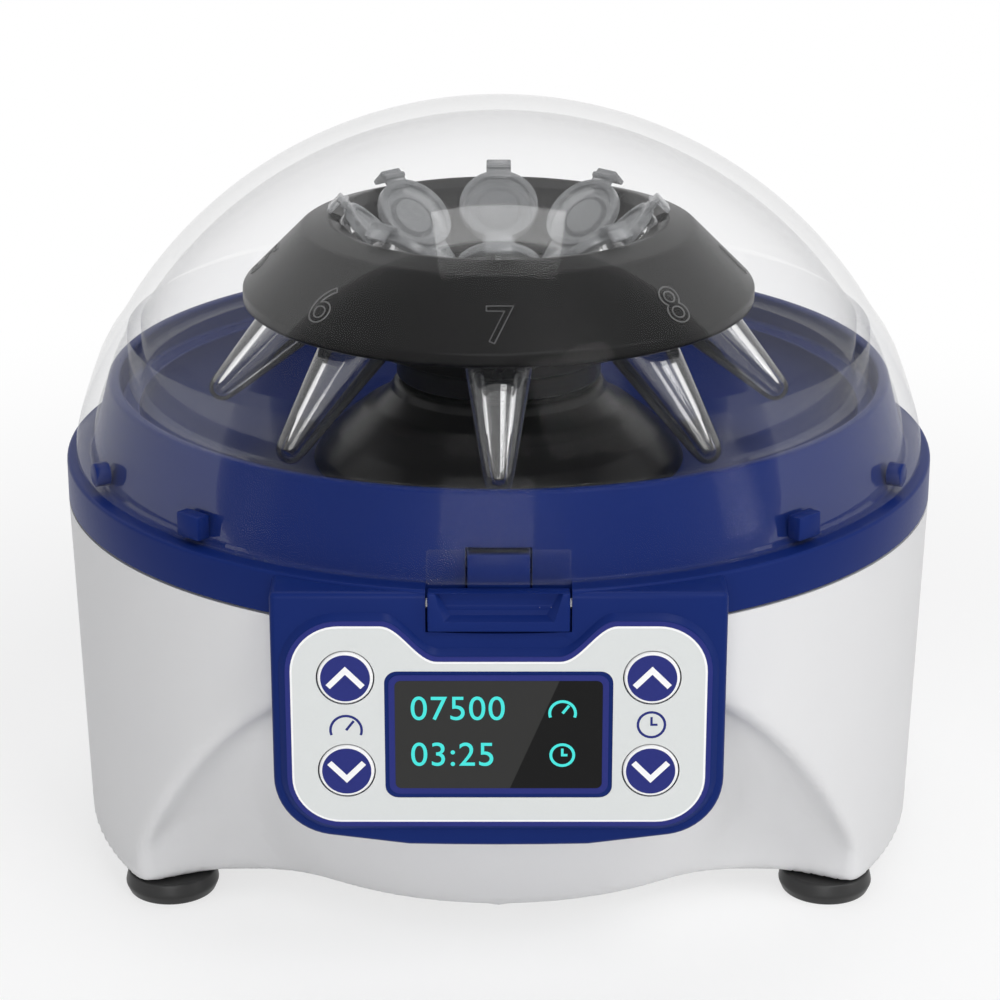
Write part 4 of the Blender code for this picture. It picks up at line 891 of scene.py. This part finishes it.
def buildRotor():
    r = rotor
    funnelRise = r["capZ"] - r["capRadius"] - (seat["depth"] - 0.5) / math.sin(math.radians(r["tilt"]))
    mouth, foot = r["crestZ"] - funnelRise, r["hubZ"] - funnelRise
    profile = [(r["crest"] + r["coneOut"], r["crestZ"] + r["coneUp"], 2.2), (r["radius"], r["rimHigh"], 0.9),
               (r["radius"], r["rimZ"], 0.9), (r["radius"] - r["rimWidth"], r["rimZ"], 0.8),
               (r["collar"], r["skinZ"], 1.0),
               (r["collar"], r["collarZ"], 0.5), (r["bore"], r["collarZ"]), (r["bore"], r["hubZ"]),
               (foot, r["hubZ"], 0.8), (mouth, r["crestZ"] + 0.4, 1.0), (mouth + 2.6, r["crestTop"], 1.6)]
    shell = lathe("rotor", roundCorners(profile, count=7), 160)
    cutters = []
    for i in range(r["places"]):
        turn = placeFrame(i)
        bore = rod("bore", seat["bore"], (0.0, 0.0, 1.0), (0.0, 0.0, -26.0), 40)
        rest = rod("rest", seat["rest"], (0.0, 0.0, 4.0), (0.0, 0.0, -seat["depth"]), 40)
        notch = block("notch", (-seat["notchHalf"], -seat["notchReach"], -seat["depth"] - 0.5),
                      (seat["notchHalf"], 0.0, 1.0))
        for tool in (bore, rest, notch):
            tool.data.transform(turn)
        cutters.append(combine(combine(bore, rest), notch))
    for tool in cutters:
        shell = carve(shell, tool)
    dress(shell, finish["blackShell"], "rotor", ["rotor"], 32.0)


def coneDigits():
    # each number drawn as a thin engraved outline that lies on the cone, coloured a lighter grey than the rotor
    # as a painted highlight
    r = rotor
    lines = []
    top = Vector((r["crest"] + r["coneOut"], r["crestZ"] + r["coneUp"]))
    slant = Vector((r["radius"], r["rimHigh"])) - top
    length = slant.length
    top += Vector((-slant.y, slant.x)) / length * digits["lift"]
    for i in range(r["places"]):
        curve = bpy.data.curves.new("digit", "FONT")
        curve.body = str(placeNumber(i))
        curve.size = digits["size"]
        curve.align_x = "CENTER"
        curve.fill_mode = "NONE"
        curve.resolution_u = 6
        outline = bake(newObject("digit", curve))
        for chain in edgeChains(outline.data):
            path = []
            for x, y in chain:
                share = 1.0 - (y + digits["low"]) / length
                radius, height = top + slant * share
                angle = math.tau * i / r["places"] + x / radius
                path.append((radius * math.sin(angle), -radius * math.cos(angle), height))
            lines.append(path)
        bpy.data.objects.remove(outline, do_unlink=True)
    curve = bpy.data.curves.new("rotorNumbers", "CURVE")
    curve.dimensions = "3D"
    curve.bevel_depth = digits["line"]
    curve.bevel_resolution = 1
    for path in lines:
        spline = curve.splines.new("POLY")
        spline.points.add(len(path) - 1)
        for point, place in zip(spline.points, path):
            point.co = (*place, 1.0)
        spline.use_cyclic_u = True
    piece = bake(newObject("rotorNumbers", curve))
    dress(piece, finish["engraved"], "rotor")


def edgeChains(mesh):
    # the closed loops of a wire mesh, as lists of (x, y)
    links = {v.index: [] for v in mesh.vertices}
    for edge in mesh.edges:
        a, b = edge.vertices
        links[a].append(b)
        links[b].append(a)
    seen = set()
    chains = []
    for start in links:
        if start in seen or not links[start]:
            continue
        chain, here = [], start
        while here is not None and here not in seen:
            seen.add(here)
            chain.append(mesh.vertices[here].co.xy)
            ahead = [n for n in links[here] if n not in seen]
            here = ahead[0] if ahead else None
        chains.append(chain)
    return chains


buildRotor()
coneDigits()
print("rotor made")


# Tubes and caps

tube = {"top": 2.0, "collar": 6.2, "collarLow": 3.3, "radius": 5.4, "straight": 18.0, "tip": 2.3,
        "length": 40.1, "wall": 1.0}
cap = {"radius": 6.8, "thick": 1.7, "plug": 4.1, "depth": 5.2, "strapHalf": 2.1, "strapReach": 9.0,
       "thumbHalf": 2.8, "thumbReach": 10.0, "beadY": -7.6, "bead": 0.55}


def tubeProfile():
    t = tube
    tipZ = -t["length"]
    bore = t["radius"] - t["wall"]
    outer = [(bore, -t["top"]), (t["collar"], -t["top"], 0.25), (t["collar"], -t["collarLow"], 0.2),
             (t["radius"], -t["collarLow"], 0.2), (t["radius"], -t["straight"], 1.5),
             (t["tip"] + 0.15, tipZ + 2.6, 1.0)]
    outer = roundCorners(outer, False, 4)
    outer += arcPoints(0.0, tipZ + t["tip"], t["tip"], 0, -90, 8)[1:]
    outer[-1] = (0.0, tipZ)
    return outer + [(0.0, tipZ + t["wall"]), (1.0, tipZ + t["wall"] + 0.5), (1.35, tipZ + 2.8),
                    (bore, -t["straight"]), (bore, -t["top"])]


def buildTubes():
    for i in range(rotor["places"]):
        number = placeNumber(i)
        piece = lathe("tube%d" % number, tubeProfile(), 48, closed=False)
        piece.data.transform(placeFrame(i))
        dress(piece, finish["tubeClear"], "rotor", ["tube_%d" % number])


def capMesh():
    c = cap
    profile = [(0.0, -0.45), (c["radius"] - 1.5, -0.45), (c["radius"] - 1.2, -0.05),
               (c["radius"] - 0.1, 0.0, 0.3), (c["radius"], -c["thick"], 0.3),
               (c["plug"], -c["thick"]), (c["plug"] - 0.1, -c["depth"]),
               (c["plug"] - 0.8, -c["depth"]), (c["plug"] - 0.8, -1.2), (0.0, -1.2)]
    disc = lathe("disc", roundCorners(profile, False, 3), 56, closed=False)
    root = c["radius"] * 0.75
    thumb = block("thumb", (-c["thumbHalf"], root, -1.27), (c["thumbHalf"], c["thumbReach"], -0.45))
    strap = block("strap", (-c["strapHalf"], -c["strapReach"], -1.05), (c["strapHalf"], -root, -0.2))
    bead = rod("bead", c["bead"], (-c["strapHalf"], c["beadY"], -0.35), (c["strapHalf"], c["beadY"], -0.35), 16)
    leg = block("leg", (-c["strapHalf"], -c["strapReach"] + 0.05, -3.2),
                (c["strapHalf"], -c["strapReach"] + 0.9, -0.4))
    return gather("cap", [disc, bevel(thumb, 0.25, 2), bevel(strap, 0.25, 2), bead, bevel(leg, 0.2, 2)])


def buildCaps():
    source = capMesh()
    for i in range(rotor["places"]):
        number = placeNumber(i)
        piece = newObject("cap%d" % number, source.data.copy())
        piece.data.transform(placeFrame(i))
        dress(piece, finish["capFrosted"], "rotor", ["cap_%d" % number])
    bpy.data.objects.remove(source, do_unlink=True)


buildTubes()
buildCaps()
print("tubes made")


# Motor cover, nut and shaft

cover = {"top": 17.3, "foot": 31.2, "topZ": 78.7, "lowZ": 64.8, "wall": 1.8, "bore": 3.0}
bellShares = [(0.0, 0.0, 1.2), (0.05, 0.12, 1.0), (0.22, 0.30, 3.0), (0.40, 0.38, 4.0), (0.70, 0.62, 6.0),
              (0.93, 0.86, 3.0), (1.0, 1.0, 0.3)]
nut = {"gap": 0.3, "height": 5.0, "bore": 2.7, "radius": 6.5, "rib": 0.35, "ribs": 18}
shaft = {"radius": 2.4, "low": 38.0, "top": 95.4}


def buildCover():
    c = cover
    run, rise = c["foot"] - c["top"], c["topZ"] - c["lowZ"]
    outer = [(c["top"] + run * out, c["topZ"] - rise * down, soft) for out, down, soft in bellShares]
    inner = [(r - c["wall"], z) for r, z, soft in reversed(outer[1:])]
    profile = [(c["bore"], c["topZ"])] + outer + inner + [(c["bore"], c["topZ"] - c["wall"])]
    bell = lathe("motorCover", roundCorners(profile, count=6), 128)
    dress(bell, finish["blackGloss"], "base", ["motor_cover"], 40.0)


def buildNut():
    low = rotor["hubZ"] + nut["gap"]
    top = low + nut["height"]
    profile = roundCorners([(nut["bore"], low), (nut["radius"], low, 0.3), (nut["radius"], top - 1.0, 0.4),
                            (nut["radius"] - 0.9, top, 0.4), (nut["bore"], top, 0.2)])
    pieces = [lathe("rotorNut", profile, 64)]
    reach = nut["radius"] - 0.15
    for i in range(nut["ribs"]):
        rib = rod("rib", nut["rib"], (reach, 0.0, low + 0.5), (reach, 0.0, top - 1.4), 8)
        rib.data.transform(Matrix.Rotation(math.tau * i / nut["ribs"], 4, "Z"))
        pieces.append(rib)
    dress(gather("rotorNut", pieces), finish["blackShell"], "rotor", ["rotor_nut"])
    profile = roundCorners([(0.0, shaft["low"]), (shaft["radius"], shaft["low"], 0.4),
                            (shaft["radius"], shaft["top"], 0.5), (0.0, shaft["top"])], False)
    dress(lathe("motorShaft", profile, 40, closed=False), finish["steel"], "rotor", ["motor_shaft"])


buildCover()
buildNut()


# Feet, and the finishes of the nodes that stay as the CAD made them

feet = {"places": [(-54.0, -32.0), (54.0, -32.0), (-54.0, 32.0), (54.0, 32.0)],
        "profile": [(0.0, 6.5), (2.0, 6.5), (2.0, 3.7), (7.2, 3.7, 0.5), (7.7, 1.6, 1.2), (7.0, 0.0, 0.6),
                    (0.0, 0.0)]}


def buildFeet():
    profile = roundCorners(feet["profile"], False)
    for i, (x, y) in enumerate(feet["places"]):
        foot = lathe("foot%d" % (i + 1), profile, 56, closed=False)
        foot.data.transform(Matrix.Translation((x, y, 0.0)))
        dress(foot, finish["footRubber"], "base", ["foot_%d" % (i + 1)])


buildFeet()

plain = {"bottom_plate": "whiteShell", "rear_panel": "whiteShell", "power_inlet": "blackShell",
         "power_switch": "blackShell", "lid_switch": "blackShell", "control_board": "boardGreen",
         "display_module": "moduleGrey", "motor_body": "steel", "motor_bracket": "steel", "hinge_pin": "steel",
         "latch_pin": "steel", "lid_spring": "steel", "latch_spring": "steel"}
for number in (1, 2, 3):
    plain["plate_screw_%d" % number] = "steel"
    plain["bracket_screw_%d" % number] = "steel"
    plain["damper_%d" % number] = "footRubber"
for node, paintName in plain.items():
    mesh = frame["nodes"][node].data
    mesh.materials.clear()
    mesh.materials.append(finish[paintName])
print("carried nodes finished")


# Floor, lights and camera

def buildFloor():
    # the floor's own colour takes the shadow; a far white ring fades into the backdrop
    far = 3.0
    floor = meshFrom("floor", [(-far, -far, 0), (far, -far, 0), (far, far, 0), (-far, far, 0)], [(0, 1, 2, 3)])
    paint = Paint("floorWhite")
    coords = paint.node("ShaderNodeTexCoord", {}, {}, "Object")
    away = paint.node("ShaderNodeVectorMath", {"operation": "LENGTH"}, {0: coords}, "Value")
    fade = paint.node("ShaderNodeMapRange", {"interpolation_type": "SMOOTHSTEP"},
                      {"Value": away, "From Min": 0.11, "From Max": 0.32})
    paint.set(Base_Color=(0.93, 0.93, 0.93), Roughness=0.7)
    white = paint.node("ShaderNodeEmission", {}, {"Color": (1.0, 1.0, 1.0), "Strength": 1.0})
    paint.blend(paint.seen() * (fade * 0.3 + 0.7), white)
    floor.data.materials.append(paint.material)


def buildWorld():
    world = bpy.data.worlds.new("studio")
    world.use_nodes = True
    scene.world = world
    sky = Tree(world.node_tree)
    colour = sky.mix(sky.seen(), (0.26, 0.26, 0.27), (1.0, 1.0, 1.0))
    sky.feed(world.node_tree.nodes["Background"].inputs["Color"], colour)


def areaLight(name, place, target, size, power):
    data = bpy.data.lights.new(name, "AREA")
    data.shape = "RECTANGLE"
    data.size, data.size_y = size
    data.energy = power
    lamp = bpy.data.objects.new(name, data)
    scene.collection.objects.link(lamp)
    lamp.location = place
    lamp.rotation_euler = (Vector(target) - Vector(place)).to_track_quat("-Z", "Y").to_euler()


view = {"place": (0.0, -0.4661, 0.2220), "target": (0.0, -0.0027, 0.0565), "lens": 104.35, "shift": 0.0013}


def buildCamera():
    data = bpy.data.cameras.new("camera")
    data.lens = view["lens"]
    data.sensor_width = 36.0
    data.shift_x = view["shift"]
    camera = bpy.data.objects.new("camera", data)
    scene.collection.objects.link(camera)
    camera.location = view["place"]
    camera.rotation_euler = (Vector(view["target"]) - Vector(view["place"])).to_track_quat("-Z", "Y").to_euler()
    scene.camera = camera


buildFloor()
buildWorld()
areaLight("keyLight", (0.30, -0.50, 0.75), (0.0, 0.0, 0.06), (0.35, 0.35), 2.4)
areaLight("frontLight", (-0.05, -0.95, 0.30), (0.0, 0.0, 0.06), (0.40, 0.5), 2.9)
areaLight("leftLight", (-0.75, -0.35, 0.30), (0.0, 0.0, 0.07), (0.15, 0.6), 0.2)
areaLight("rightLight", (0.75, -0.35, 0.30), (0.0, 0.0, 0.07), (0.15, 0.6), 1.2)
areaLight("topLight", (0.0, 0.15, 0.95), (0.0, 0.0, 0.06), (0.4, 0.4), 1.8)
buildCamera()
scene.view_settings.view_transform = "Standard"

print("stage ready")
